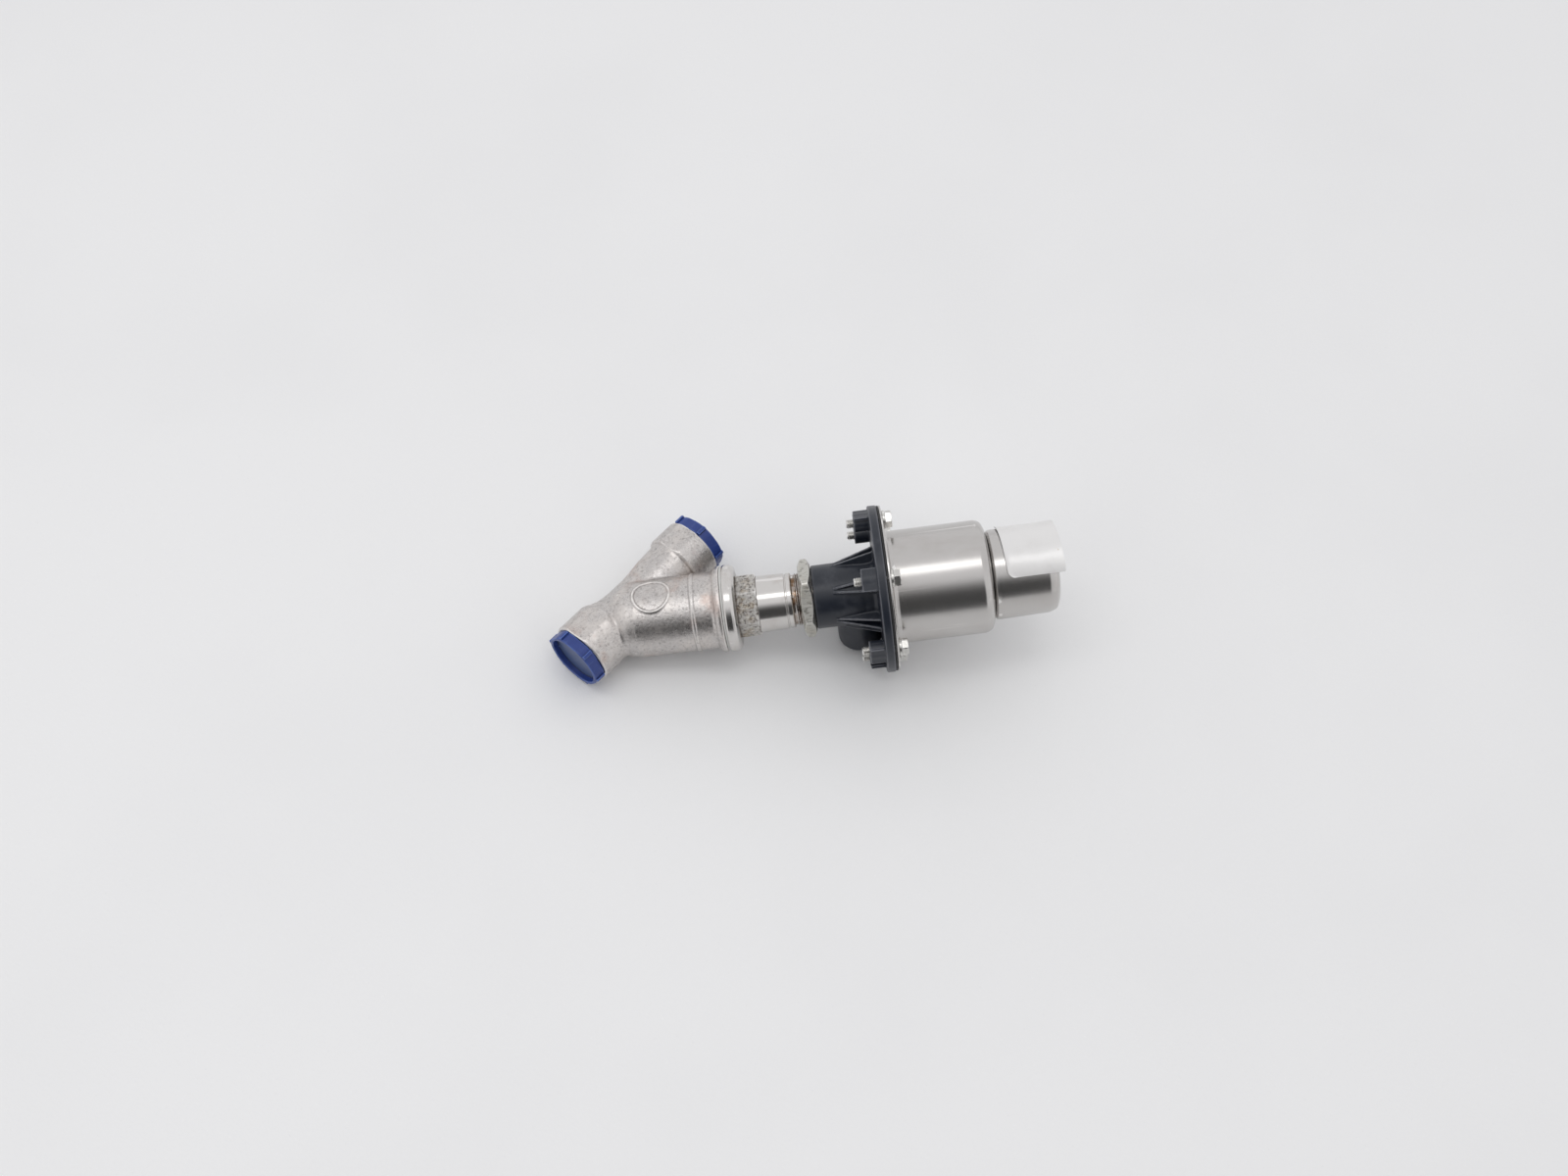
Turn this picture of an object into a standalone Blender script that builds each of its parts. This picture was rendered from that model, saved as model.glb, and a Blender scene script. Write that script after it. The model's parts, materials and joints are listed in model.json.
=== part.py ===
"""Angle-seat diaphragm-actuated valve, lying on its side on a flat floor.

Local frames: the pipe run lies along X. The actuator axis leaves the run at 45 degrees and
carries its own frame, in which Z runs out along the stem and X is the normal of the plane
that holds both axes. All sizes are written in millimetres and turned into metres by MM.
"""
import math

import bmesh
import bpy
from mathutils import Matrix, Vector

MM = 0.001
GAP = 0.3                      # clearance between neighbouring pieces

# pose of the whole valve on the floor
LEAN = 15.2                    # roll about the pipe run that puts the flange on the floor
BRANCH = 45.0                  # angle between the run and the actuator axis

# pipe run
INLET_END = -30.9
OUTLET_END = 79.0
END_R = 21.9                   # round end collars
FLAT_HALF = 20.5               # half of the 41 mm spanner size across the end flats
PORT_R = 16.6
PORT_DEPTH = 17.0
BORE_R = 12.5
WAIST_R = 16.7

# branch and seat, measured along the actuator axis
SEAT_LOW = 2.0
SEAT_TOP = 6.0
SEAT_HOLE_R = 11.5
CHAMBER_R = 20.8
NECK_TOP = 74.3
MARK_RING_R = 12.2
MARK_RING_AT = 29.0

# bonnet
BONNET_LOW = 58.0
DISC_LOW = 75.9
DISC_TOP = 84.0
HEX_TOP = 97.5
SLEEVE_TOP = 120.5
THREAD_TOP = 150.5
THREAD_R = 17.5
PACKING_R = 9.0

# stem
STEM_R = 5.0
STEM_THIN_R = 4.0
STEM_LOW = -2.6
STEM_TOP = 198.0

# lock nut
NUT_LOW = 126.0
NUT_TOP = 134.2
NUT_AF = 46.0

# lower housing
HOUSING_LOW = 134.5
FLANGE_LOW = 176.6
FLANGE_TOP = 182.4
FLANGE_R = 55.5
TUBE_R = 21.1
AIR_PORT_AT = 162.5
AIR_PORT_BOSS_R = 15.0
AIR_PORT_REACH = 47.0
AIR_PORT_R = 5.9

# screws round the flange
SCREWS = 6
SCREW_CIRCLE_R = 48.3
SCREW_FIRST = 30.0             # angle of the first screw from the plane's normal
SCREW_R = 3.0
SCREW_HOLE_R = 3.4
SCREW_AF = 10.0
SCREW_TIP = 161.6
WASHER_LOW = 185.5
WASHER_TOP = 187.1
HEAD_LOW = 187.4
HEAD_TOP = 191.4

# spring housing and its cap
CAN_FLANGE_LOW = 184.0
SHEET = 1.2
CAN_R = 37.5
CAN_TOP = 250.6
CAP_CAN_LOW = 251.2
CAP_CAN_TOP = 294.4

# label sheet
LABEL_R = 30.3
LABEL_FROM = -58.0
LABEL_TO = 44.0

ROUND = 30                     # steps round large turned pieces
WIDE_ROUND = 36                # steps round the flange and the spring housing
SMALL_ROUND = 16               # steps round small turned pieces
HOLE_ROUND = 10                # steps round the screws and their holes


# ---------------------------------------------------------------- helpers

def clear_scene():
    for obj in list(bpy.data.objects):
        bpy.data.objects.remove(obj, do_unlink=True)


def make_collection(name):
    col = bpy.data.collections.new(name)
    bpy.context.scene.collection.children.link(col)
    return col


def make_material(name, colour, metallic, roughness):
    mat = bpy.data.materials.new(name)
    mat.use_nodes = True
    shader = mat.node_tree.nodes["Principled BSDF"]
    shader.inputs["Base Color"].default_value = (*colour, 1.0)
    shader.inputs["Metallic"].default_value = metallic
    shader.inputs["Roughness"].default_value = roughness
    mat.diffuse_color = (*colour, 1.0)
    return mat


def add_object(name, mesh, home, parent):
    obj = bpy.data.objects.new(name, mesh)
    home.objects.link(obj)
    obj.parent = parent
    return obj


def add_empty(name, home, parent=None, matrix=None):
    obj = bpy.data.objects.new(name, None)
    obj.empty_display_size = 0.01
    home.objects.link(obj)
    obj.parent = parent
    if matrix is not None:
        obj.matrix_local = matrix
    return obj


def as_cutter(obj):
    obj.hide_render = True
    obj.display_type = "WIRE"
    return obj


def turned(name, profile, home, parent, closed=True, steps=ROUND):
    """Turn a profile of (radius, height) points about Z.

    The profile runs down its outer side and, when closed, back up its inner side.
    """
    points = [(r * MM, 0.0, z * MM) for r, z in profile]
    count = len(points)
    edges = [(i, i + 1) for i in range(count - 1)]
    if closed:
        edges.append((count - 1, 0))
    mesh = bpy.data.meshes.new(name)
    mesh.from_pydata(points, edges, [])
    obj = add_object(name, mesh, home, parent)
    spin = obj.modifiers.new("Turn", "SCREW")
    spin.angle = 2.0 * math.pi
    spin.steps = spin.render_steps = steps
    spin.axis = "Z"
    spin.use_merge_vertices = True
    spin.merge_threshold = 0.00001
    spin.use_smooth_shade = True
    return obj


def ring(name, inner, outer, low, high, home, parent, steps=SMALL_ROUND):
    profile = [(outer, high), (outer, low), (inner, low), (inner, high)]
    return turned(name, profile, home, parent, steps=steps)


def plain_cylinder(name, radius, low, high, home, parent, steps=SMALL_ROUND):
    profile = [(0.0, high), (radius, high), (radius, low), (0.0, low)]
    return turned(name, profile, home, parent, closed=False, steps=steps)


def from_bmesh(name, build, home, parent):
    work = bmesh.new()
    build(work)
    bmesh.ops.recalc_face_normals(work, faces=work.faces)
    mesh = bpy.data.meshes.new(name)
    work.to_mesh(mesh)
    work.free()
    return add_object(name, mesh, home, parent)


def add_box(work, size, matrix):
    bmesh.ops.create_cube(work, size=1.0,
                          matrix=matrix @ Matrix.Diagonal((*[s * MM for s in size], 1.0)))


def add_rod(work, radius, low, high, matrix, segments):
    middle = Matrix.Translation((0.0, 0.0, 0.5 * (low + high) * MM))
    bmesh.ops.create_cone(work, cap_ends=True, segments=segments, radius1=radius * MM,
                          radius2=radius * MM, depth=(high - low) * MM, matrix=matrix @ middle)


def around(angle, radius=0.0, height=0.0):
    """Frame at an angle and radius round the axis, X pointing outwards."""
    turn = Matrix.Rotation(math.radians(angle), 4, "Z")
    return turn @ Matrix.Translation((radius * MM, 0.0, height * MM))


def combine(target, tool, operation):
    step = target.modifiers.new(operation.title(), "BOOLEAN")
    step.operation = operation
    step.solver = "EXACT"
    step.object = tool
    return step


def smooth_round(obj, angle=35.0):
    """Bake the steps of a piece and shade its round faces smooth."""
    graph = bpy.context.evaluated_depsgraph_get()
    baked = bpy.data.meshes.new_from_object(obj.evaluated_get(graph))
    obj.modifiers.clear()
    obj.data = baked
    work = bmesh.new()
    work.from_mesh(baked)
    bmesh.ops.remove_doubles(work, verts=work.verts, dist=0.00002)
    bmesh.ops.dissolve_degenerate(work, edges=work.edges, dist=0.00001)
    bmesh.ops.recalc_face_normals(work, faces=work.faces)
    work.to_mesh(baked)
    work.free()
    baked.shade_smooth()
    baked.set_sharp_from_angle(angle=math.radians(angle))


def paint(obj, material):
    obj.data.materials.clear()
    obj.data.materials.append(material)


def hex_prism(name, across_flats, low, high, angle, home, parent):
    """A hexagonal prism along Z with one corner at the given angle."""
    radius = across_flats / math.sqrt(3.0)
    turn = Matrix.Rotation(math.radians(angle), 4, "Z")
    return from_bmesh(name, lambda work: add_rod(work, radius, low, high, turn, 6),
                      home, parent)


# ---------------------------------------------------------------- valve body

def run_outer(home, parent):
    """Outside of the pipe run: two round end collars and a slim waist."""
    soft = 0.8
    profile = [(0.0, OUTLET_END), (END_R - soft, OUTLET_END), (END_R, OUTLET_END - soft),
               (END_R, 60.2), (END_R - 0.5, 59.2), (20.2, 58.4), (19.5, 56.5), (19.1, 50.0),
               (18.7, 43.0), (17.6, 34.0), (WAIST_R, 26.0), (WAIST_R, 12.0),
               (17.2, 5.0), (18.1, 0.5), (19.6, -4.0), (21.2, -7.0), (END_R, -9.5),
               (END_R, INLET_END + soft), (END_R - soft, INLET_END), (0.0, INLET_END)]
    obj = turned("valve_body", profile, home, parent, closed=False)
    obj.rotation_euler = (0.0, math.radians(90.0), 0.0)
    return obj


def branch_outer(home, parent):
    profile = [(0.0, NECK_TOP), (28.1, NECK_TOP), (28.7, NECK_TOP - 0.6), (28.7, 72.2),
               (28.0, 70.6), (26.4, 69.0), (25.7, 67.6), (25.6, 57.0), (26.2, 56.2),
               (26.2, 54.8), (25.4, 53.9), (25.2, 17.0), (24.3, 11.2), (23.4, 8.0),
               (21.6, 4.4), (18.8, 0.5), (15.0, -3.5), (9.0, -6.0), (0.0, -7.0)]
    return turned("branch_outer", profile, home, parent, closed=False)


def mark_ring(home, parent):
    """A plain raised ring cast on the side of the branch."""
    height = 25.9
    profile = [(MARK_RING_R + 0.7, height), (MARK_RING_R + 0.7, height - 6.0),
               (MARK_RING_R - 0.7, height - 6.0), (MARK_RING_R - 0.7, height)]
    tube = turned("mark_ring", profile, home, parent)
    tube.matrix_local = (Matrix.Translation((0.0, 0.0, MARK_RING_AT * MM))
                         @ Matrix.Rotation(math.radians(90.0), 4, "Y"))
    shell = plain_cylinder("mark_ring_skin", height - 0.2, MARK_RING_AT - 18.0,
                           MARK_RING_AT + 18.0, home, parent, steps=ROUND)
    combine(tube, as_cutter(shell), "INTERSECT")
    return tube


def flow_cavity(name, end, direction, seat_plane, home, parent):
    """A threaded socket and the bore behind it, which stops at the slanted seat wall."""
    slope = math.tan(math.radians(BRANCH))
    along = seat_plane / math.cos(math.radians(BRANCH))
    steps = [(1.2, PORT_R + 2.4), (-1.2, PORT_R), (-PORT_DEPTH, PORT_R),
             (-PORT_DEPTH, BORE_R)]

    def build(work):
        rings = [[] for _ in range(len(steps) + 1)]
        for i in range(ROUND):
            turn = 2.0 * math.pi * (i + 0.37) / ROUND
            y, z = math.cos(turn), math.sin(turn)
            for line, (reach, radius) in zip(rings, steps):
                line.append(work.verts.new(((end + direction * reach) * MM,
                                            radius * y * MM, radius * z * MM)))
            rings[-1].append(work.verts.new(((along + slope * BORE_R * y) * MM,
                                             BORE_R * y * MM, BORE_R * z * MM)))
        for near, far in zip(rings, rings[1:]):
            for i in range(ROUND):
                j = (i + 1) % ROUND
                work.faces.new((near[i], near[j], far[j], far[i]))
        work.faces.new(rings[0][::-1])
        work.faces.new(rings[-1])

    return from_bmesh(name, build, home, parent)


def end_flats(home, parent):
    """Boxes that shave the spanner flats on both ends, parallel to the valve's plane."""
    def build(work):
        for low, high in ((INLET_END - 2.0, -6.0), (57.0, OUTLET_END + 2.0)):
            for side in (-1.0, 1.0):
                where = Matrix.Translation((0.5 * (low + high) * MM, 0.0,
                                            side * (FLAT_HALF + 3.0) * MM))
                add_box(work, (high - low, 60.0, 6.0), where)
    return from_bmesh("end_flats", build, home, parent)


def chamber_cutter(home, parent):
    profile = [(0.0, NECK_TOP + 2.0), (CHAMBER_R, NECK_TOP + 2.0), (CHAMBER_R, 12.0),
               (16.5, SEAT_TOP), (0.0, SEAT_TOP)]
    obj = turned("chamber", profile, home, parent, closed=False)
    obj.rotation_euler = (0.0, 0.0, math.radians(7.7))
    return obj


def build_body(parts, cutters, root, axis, metal):
    body = run_outer(parts, root)
    combine(body, as_cutter(branch_outer(cutters, axis)), "UNION")
    combine(body, as_cutter(mark_ring(cutters, axis)), "UNION")
    tools = [end_flats(cutters, root), chamber_cutter(cutters, axis),
             plain_cylinder("seat_hole", SEAT_HOLE_R, SEAT_LOW - 6.0, SEAT_TOP + 2.0,
                            cutters, axis, steps=ROUND),
             flow_cavity("inlet_cavity", INLET_END, -1.0, SEAT_LOW, cutters, root),
             flow_cavity("outlet_cavity", OUTLET_END, 1.0, SEAT_TOP + 0.6, cutters, root)]
    for tool in tools:
        combine(body, as_cutter(tool), "DIFFERENCE")
    smooth_round(body)
    paint(body, metal)


def build_end_cap(name, end, direction, corner, parts, cutters, root, plastic):
    """A plastic protection plug with a six-sided rim, small corner lugs and a recess."""
    rim_low, rim_high, recess = GAP, 8.1, 4.0
    rim_r, opening_r, skirt_r, skirt_low = 21.3, 18.1, 16.2, -13.0
    profile = [(opening_r + 0.4, rim_high), (rim_r - 0.6, rim_high), (rim_r, rim_high - 0.6),
               (rim_r, rim_low), (skirt_r, rim_low), (skirt_r, skirt_low + 0.8),
               (skirt_r - 0.8, skirt_low), (skirt_r - 2.0, skirt_low),
               (skirt_r - 1.6, recess - 1.6), (0.0, recess - 1.6)]
    top = [(0.0, recess), (opening_r - 0.3, recess), (opening_r, rim_high - 0.5)]
    home = Matrix.Translation((end * MM, 0.0, 0.0)) @ Matrix.Rotation(
        math.radians(90.0 * direction), 4, "Y")
    cap = turned(name, top + profile, parts, root, closed=False, steps=ROUND)
    cap.matrix_local = home
    hexagon = hex_prism(name + "_hexagon", 39.8, skirt_low - 2.0, rim_high + 2.0, corner,
                        cutters, root)
    hexagon.matrix_local = home
    combine(cap, as_cutter(hexagon), "INTERSECT")

    def lugs(work):
        for i in range(6):
            where = around(corner + 60.0 * i, 20.6, 0.5 * (rim_low + rim_high))
            add_box(work, (2.8, 2.4, rim_high - rim_low - 0.6), where)
    lug = from_bmesh(name + "_lugs", lugs, cutters, root)
    lug.matrix_local = home
    combine(cap, as_cutter(lug), "UNION")
    smooth_round(cap)
    paint(cap, plastic)


# ---------------------------------------------------------------- bonnet and packing

def build_bonnet(parts, cutters, axis, metal):
    profile = [(16.7, THREAD_TOP), (THREAD_R, THREAD_TOP - 0.8), (THREAD_R, 123.0),
               (16.7, 122.2), (16.7, 121.0), (17.9, SLEEVE_TOP), (18.3, SLEEVE_TOP - 0.5),
               (18.4, 117.4), (18.0, 117.0), (18.0, 116.4), (18.5, 116.0),
               (19.0, HEX_TOP + 0.4), (18.6, HEX_TOP), (18.6, DISC_TOP), (26.0, DISC_TOP),
               (28.2, DISC_TOP - 1.4), (28.9, DISC_TOP - 3.4), (28.9, DISC_LOW + 1.2),
               (28.3, DISC_LOW), (20.3, DISC_LOW), (20.3, BONNET_LOW + 1.0),
               (19.3, BONNET_LOW), (STEM_R + 0.4, BONNET_LOW), (STEM_R + 0.4, 62.5),
               (PACKING_R, 62.5), (PACKING_R, THREAD_TOP)]
    bonnet = turned("bonnet", profile, parts, axis)
    hexagon = hex_prism("bonnet_hexagon", 36.0, DISC_TOP - 1.0, HEX_TOP, 13.0, cutters, axis)
    corner = 36.0 / math.sqrt(3.0)
    bevel = [(corner - 1.2, HEX_TOP), (corner, HEX_TOP - 0.7), (corner, DISC_TOP - 1.5),
             (corner - 6.0, DISC_TOP - 1.5), (corner - 6.0, HEX_TOP)]
    combine(hexagon, as_cutter(turned("bonnet_hexagon_bevel", bevel, cutters, axis)),
            "INTERSECT")
    combine(bonnet, as_cutter(hexagon), "UNION")
    smooth_round(bonnet)
    paint(bonnet, metal)


def chevron(name, low, parts, axis):
    """One V-shaped packing ring."""
    inner, outer = STEM_R + GAP, PACKING_R - GAP
    middle = 0.5 * (inner + outer)
    profile = [(outer, low + 1.8), (outer, low), (middle, low + 1.1), (inner, low),
               (inner, low + 1.8), (middle, low + 2.9)]
    return turned(name, profile, parts, axis, steps=SMALL_ROUND)


def helix(name, radius, wire, low, high, turns, steps, parts, axis):
    """A wire coil along Z, its end turns drawn closer together."""
    curve = bpy.data.curves.new(name, "CURVE")
    curve.dimensions = "3D"
    curve.bevel_depth = wire * MM
    curve.bevel_resolution = 2
    curve.use_fill_caps = True
    line = curve.splines.new("POLY")
    count = int(turns * steps)
    line.points.add(count)
    pitch = (high - low) / turns
    flat = 0.12 * pitch
    for i in range(count + 1):
        part = i / count
        ease = part - math.sin(4.0 * math.pi * part) * flat / (high - low)
        angle = 2.0 * math.pi * turns * part
        height = low + (high - low) * ease
        line.points[i].co = (radius * math.cos(angle) * MM, radius * math.sin(angle) * MM,
                             height * MM, 1.0)
    guide = add_object(name + "_wire", curve, parts, axis)
    graph = bpy.context.evaluated_depsgraph_get()
    mesh = bpy.data.meshes.new_from_object(guide.evaluated_get(graph))
    work = bmesh.new()
    work.from_mesh(mesh)
    bmesh.ops.remove_doubles(work, verts=work.verts, dist=0.00001)
    bmesh.ops.recalc_face_normals(work, faces=work.faces)
    work.to_mesh(mesh)
    work.free()
    bpy.data.objects.remove(guide, do_unlink=True)
    mesh.name = name
    mesh.shade_smooth()
    return add_object(name, mesh, parts, axis)


def build_packing(parts, axis, looks):
    inner, outer = STEM_R + GAP, PACKING_R - GAP
    spring = helix("packing_spring", 7.0, 0.75, 63.7, 73.2, 3.0, 10, parts, axis)
    paint(spring, looks["spring_steel"])
    turned_pieces = [
        (ring("packing_support_ring", inner, outer, 74.4, 76.6, parts, axis), "stem_steel"),
        (chevron("packing_ring_1", 77.0, parts, axis), "packing_white"),
        (chevron("packing_ring_2", 79.4, parts, axis), "packing_white"),
        (chevron("packing_ring_3", 81.8, parts, axis), "packing_white"),
        (ring("gland_bush", inner, outer, 85.4, 108.0, parts, axis), "brass"),
        (ring("stem_wiper", inner, outer, 108.5, 111.5, parts, axis), "black_rubber"),
        (ring("bonnet_gasket", 21.2, 27.6, NECK_TOP + GAP, DISC_LOW - GAP, parts, axis,
              steps=ROUND), "packing_white"),
    ]
    for obj, look in turned_pieces:
        smooth_round(obj)
        paint(obj, looks[look])


# ---------------------------------------------------------------- stem group

def build_stem(parts, cutters, axis, looks):
    profile = [(0.0, STEM_TOP), (STEM_THIN_R - 0.6, STEM_TOP), (STEM_THIN_R, STEM_TOP - 0.6),
               (STEM_THIN_R, 179.7), (STEM_R, 179.7), (STEM_R, 17.2), (8.0, 17.2),
               (8.0, 13.8), (STEM_THIN_R, 13.8), (STEM_THIN_R, STEM_LOW + 0.6),
               (STEM_THIN_R - 0.6, STEM_LOW), (0.0, STEM_LOW)]
    stem = turned("stem", profile, parts, axis, closed=False, steps=SMALL_ROUND)
    hole = STEM_THIN_R + GAP
    plug = [(8.6, 13.5), (13.6, 12.6), (14.5, 11.4), (14.5, 9.4), (14.2, 9.1), (hole, 9.1),
            (hole, 13.5)]
    pieces = [
        (stem, "stem_steel"),
        (turned("plug_disc", plug, parts, axis, steps=SMALL_ROUND), "stem_steel"),
        (ring("plug_seal", hole, 13.8, SEAT_TOP + GAP, 8.8, parts, axis), "packing_white"),
        (ring("plug_washer", hole, 9.0, 4.5, 6.0, parts, axis), "stem_steel"),
        (nut_blank("plug_nut", 13.0, hole, -0.9, 4.2, 0.0, parts, cutters, axis), "zinc_steel"),
        (ring("lower_diaphragm_plate", hole, 29.0, 180.0, 182.0, parts, axis, steps=ROUND),
         "stem_steel"),
        (ring("upper_diaphragm_plate", hole, 29.0, 183.8, 186.0, parts, axis, steps=ROUND),
         "stem_steel"),
        (ring("diaphragm_washer", hole, 9.0, 186.3, 187.8, parts, axis), "zinc_steel"),
        (nut_blank("diaphragm_nut", 13.0, hole, 188.1, 194.5, 0.0, parts, cutters, axis),
         "zinc_steel"),
    ]
    for obj, look in pieces:
        smooth_round(obj)
        paint(obj, looks[look])


def nut_blank(name, across_flats, hole, low, high, angle, parts, cutters, axis):
    """A hexagon nut: a chamfered ring cut to six flats."""
    corner = across_flats / math.sqrt(3.0)
    slope = (corner - 0.5 * across_flats) * 1.25
    drop = slope * math.tan(math.radians(30.0))
    profile = [(corner - slope, high), (corner + 0.2, high - drop), (corner + 0.2, low + drop),
               (corner - slope, low), (hole, low), (hole, high)]
    steps = ROUND if across_flats > 20.0 else SMALL_ROUND
    nut = turned(name, profile, parts, axis, steps=steps)
    flats = hex_prism(name + "_flats", across_flats, low - 1.0, high + 1.0, angle, cutters, axis)
    combine(nut, as_cutter(flats), "INTERSECT")
    return nut


# ---------------------------------------------------------------- actuator

def screw_angles():
    return [SCREW_FIRST + 360.0 / SCREWS * i for i in range(SCREWS)]


def housing_ribs(name, side, home, axis):
    """One thin gusset beside each screw line, spreading from the tube to the flange."""
    start, root_r, tip_r, spread, half = 148.0, 19.5, 29.5, 4.6, 0.75
    end = FLANGE_LOW + 1.0

    def build(work):
        for angle in screw_angles():
            turn = around(angle)
            corners = [(root_r, 1.1 * side, start), (root_r, spread * side, end),
                       (tip_r, spread * side, end), (root_r + 1.8, 1.1 * side, start)]
            faces = []
            for shift in (-half, half):
                faces.append([work.verts.new(turn @ Vector((x * MM, (y + shift) * MM, z * MM)))
                              for x, y, z in corners])
            low, high = faces
            for i in range(4):
                j = (i + 1) % 4
                work.faces.new((low[i], low[j], high[j], high[i]))
            work.faces.new(low[::-1])
            work.faces.new(high)
    return from_bmesh(name, build, home, axis)


def build_lower_housing(parts, cutters, axis, plastic):
    stem_hole, pocket = STEM_R + 0.5, 8.7
    profile = [(54.9, FLANGE_TOP), (FLANGE_R, FLANGE_TOP - 0.5), (FLANGE_R, FLANGE_LOW + 0.5),
               (FLANGE_R - 0.5, FLANGE_LOW), (24.0, FLANGE_LOW), (22.4, 175.6), (21.6, 173.6),
               (TUBE_R, 168.0), (TUBE_R, 135.4), (TUBE_R - 0.9, HOUSING_LOW),
               (pocket, HOUSING_LOW), (pocket, 172.0), (stem_hole, 172.0), (stem_hole, 179.4),
               (33.0, 179.4), (35.4, FLANGE_TOP)]
    housing = turned("lower_housing", profile, parts, axis, steps=WIDE_ROUND)

    def bosses(work):
        for angle in screw_angles():
            add_rod(work, 6.0, FLANGE_LOW - 10.2, FLANGE_LOW + 1.0,
                    around(angle, SCREW_CIRCLE_R), 12)

    def plates(work):
        for angle in screw_angles():
            add_box(work, (2.2, 14.6, 10.6), around(angle, 53.1, FLANGE_LOW - 4.6))

    def holes(work):
        for angle in screw_angles():
            add_rod(work, SCREW_HOLE_R, FLANGE_LOW - 14.0, FLANGE_TOP + 4.0,
                    around(angle, SCREW_CIRCLE_R), HOLE_ROUND)

    down = (Matrix.Translation((0.0, 0.0, AIR_PORT_AT * MM))
            @ Matrix.Rotation(math.radians(-90.0), 4, "Y"))
    reach, boss_r = AIR_PORT_REACH, AIR_PORT_BOSS_R
    port = turned("air_port_boss", [(0.0, reach), (boss_r - 1.2, reach),
                                    (boss_r, reach - 1.2), (boss_r, 12.0), (0.0, 12.0)],
                  cutters, axis, closed=False, steps=24)
    port.matrix_local = down
    port_hole = turned("air_port_hole", [(0.0, reach + 1.0), (AIR_PORT_R + 1.8, reach + 1.0),
                                         (AIR_PORT_R, reach - 0.8),
                                         (AIR_PORT_R, 26.0), (0.0, 26.0)],
                       cutters, axis, closed=False, steps=SMALL_ROUND)
    port_hole.matrix_local = down
    duct = from_bmesh("air_duct", lambda work: add_rod(
        work, 2.2, AIR_PORT_AT, 181.0, around(180.0, 29.5), 8), cutters, axis)
    for tool in (housing_ribs("ribs_left", 1.0, cutters, axis),
                 housing_ribs("ribs_right", -1.0, cutters, axis),
                 from_bmesh("screw_bosses", bosses, cutters, axis),
                 from_bmesh("boss_plates", plates, cutters, axis), port):
        combine(housing, as_cutter(tool), "UNION")
    socket = plain_cylinder("thread_socket", THREAD_R + GAP, HOUSING_LOW - 1.0, 151.5,
                            cutters, axis, steps=ROUND)
    for tool in (socket, from_bmesh("housing_screw_holes", holes, cutters, axis), port_hole,
                 duct):
        combine(housing, as_cutter(tool), "DIFFERENCE")
    smooth_round(housing)
    paint(housing, plastic)


def build_diaphragm(parts, cutters, axis, rubber):
    """A clamped rubber disc with one raised roll between its rim and its plates."""
    hole = STEM_THIN_R + GAP
    profile = [(55.0, 183.7), (55.0, 182.7), (35.2, 182.7), (34.0, 184.6), (32.6, 185.6),
               (31.2, 184.6), (30.2, 182.4), (hole, 182.4), (hole, 183.4), (29.6, 183.4),
               (30.6, 185.5), (32.6, 186.7), (34.7, 185.4), (35.9, 183.7)]
    disc = turned("diaphragm", profile, parts, axis, steps=WIDE_ROUND)
    combine(disc, as_cutter(flange_holes("diaphragm_screw_holes", cutters, axis)),
            "DIFFERENCE")
    smooth_round(disc)
    paint(disc, rubber)


def flange_holes(name, home, axis):
    def build(work):
        for angle in screw_angles():
            add_rod(work, SCREW_HOLE_R, FLANGE_TOP - 2.0, WASHER_TOP,
                    around(angle, SCREW_CIRCLE_R), HOLE_ROUND)
    return from_bmesh(name, build, home, axis)


def build_spring_housing(parts, cutters, axis, metal):
    low, top = CAN_FLANGE_LOW, CAN_TOP
    inner = CAN_R - SHEET
    profile = [(24.0, top), (31.6, top), (34.6, top - 0.8), (36.7, top - 2.9),
               (CAN_R, top - 6.0), (CAN_R, low + 5.2), (38.2, low + 2.9), (40.6, low + SHEET),
               (55.0, low + SHEET), (55.0, low), (40.0, low), (37.0, low + 2.2),
               (inner, low + 5.4), (inner, top - 6.2), (34.9, top - 2.8),
               (31.4, top - SHEET), (24.0, top - SHEET)]
    can = turned("spring_housing", profile, parts, axis, steps=WIDE_ROUND)
    combine(can, as_cutter(flange_holes("can_screw_holes", cutters, axis)), "DIFFERENCE")
    smooth_round(can)
    paint(can, metal)


def build_housing_cap(parts, axis, metal):
    low, top = CAP_CAN_LOW, CAP_CAN_TOP
    profile = [(0.0, top), (23.0, top), (26.2, top - 1.0), (28.4, top - 3.3),
               (29.2, top - 6.6), (29.9, low + 4.0), (29.5, low + 1.7), (28.0, low + 0.3),
               (24.3, low), (24.3, low + SHEET), (27.6, low + 1.6), (28.7, low + 4.4),
               (28.0, top - 6.8), (26.6, top - 3.2), (22.8, top - SHEET),
               (0.0, top - SHEET)]
    cap = turned("spring_housing_cap", profile, parts, axis, closed=False, steps=WIDE_ROUND)
    smooth_round(cap)
    paint(cap, metal)


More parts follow.
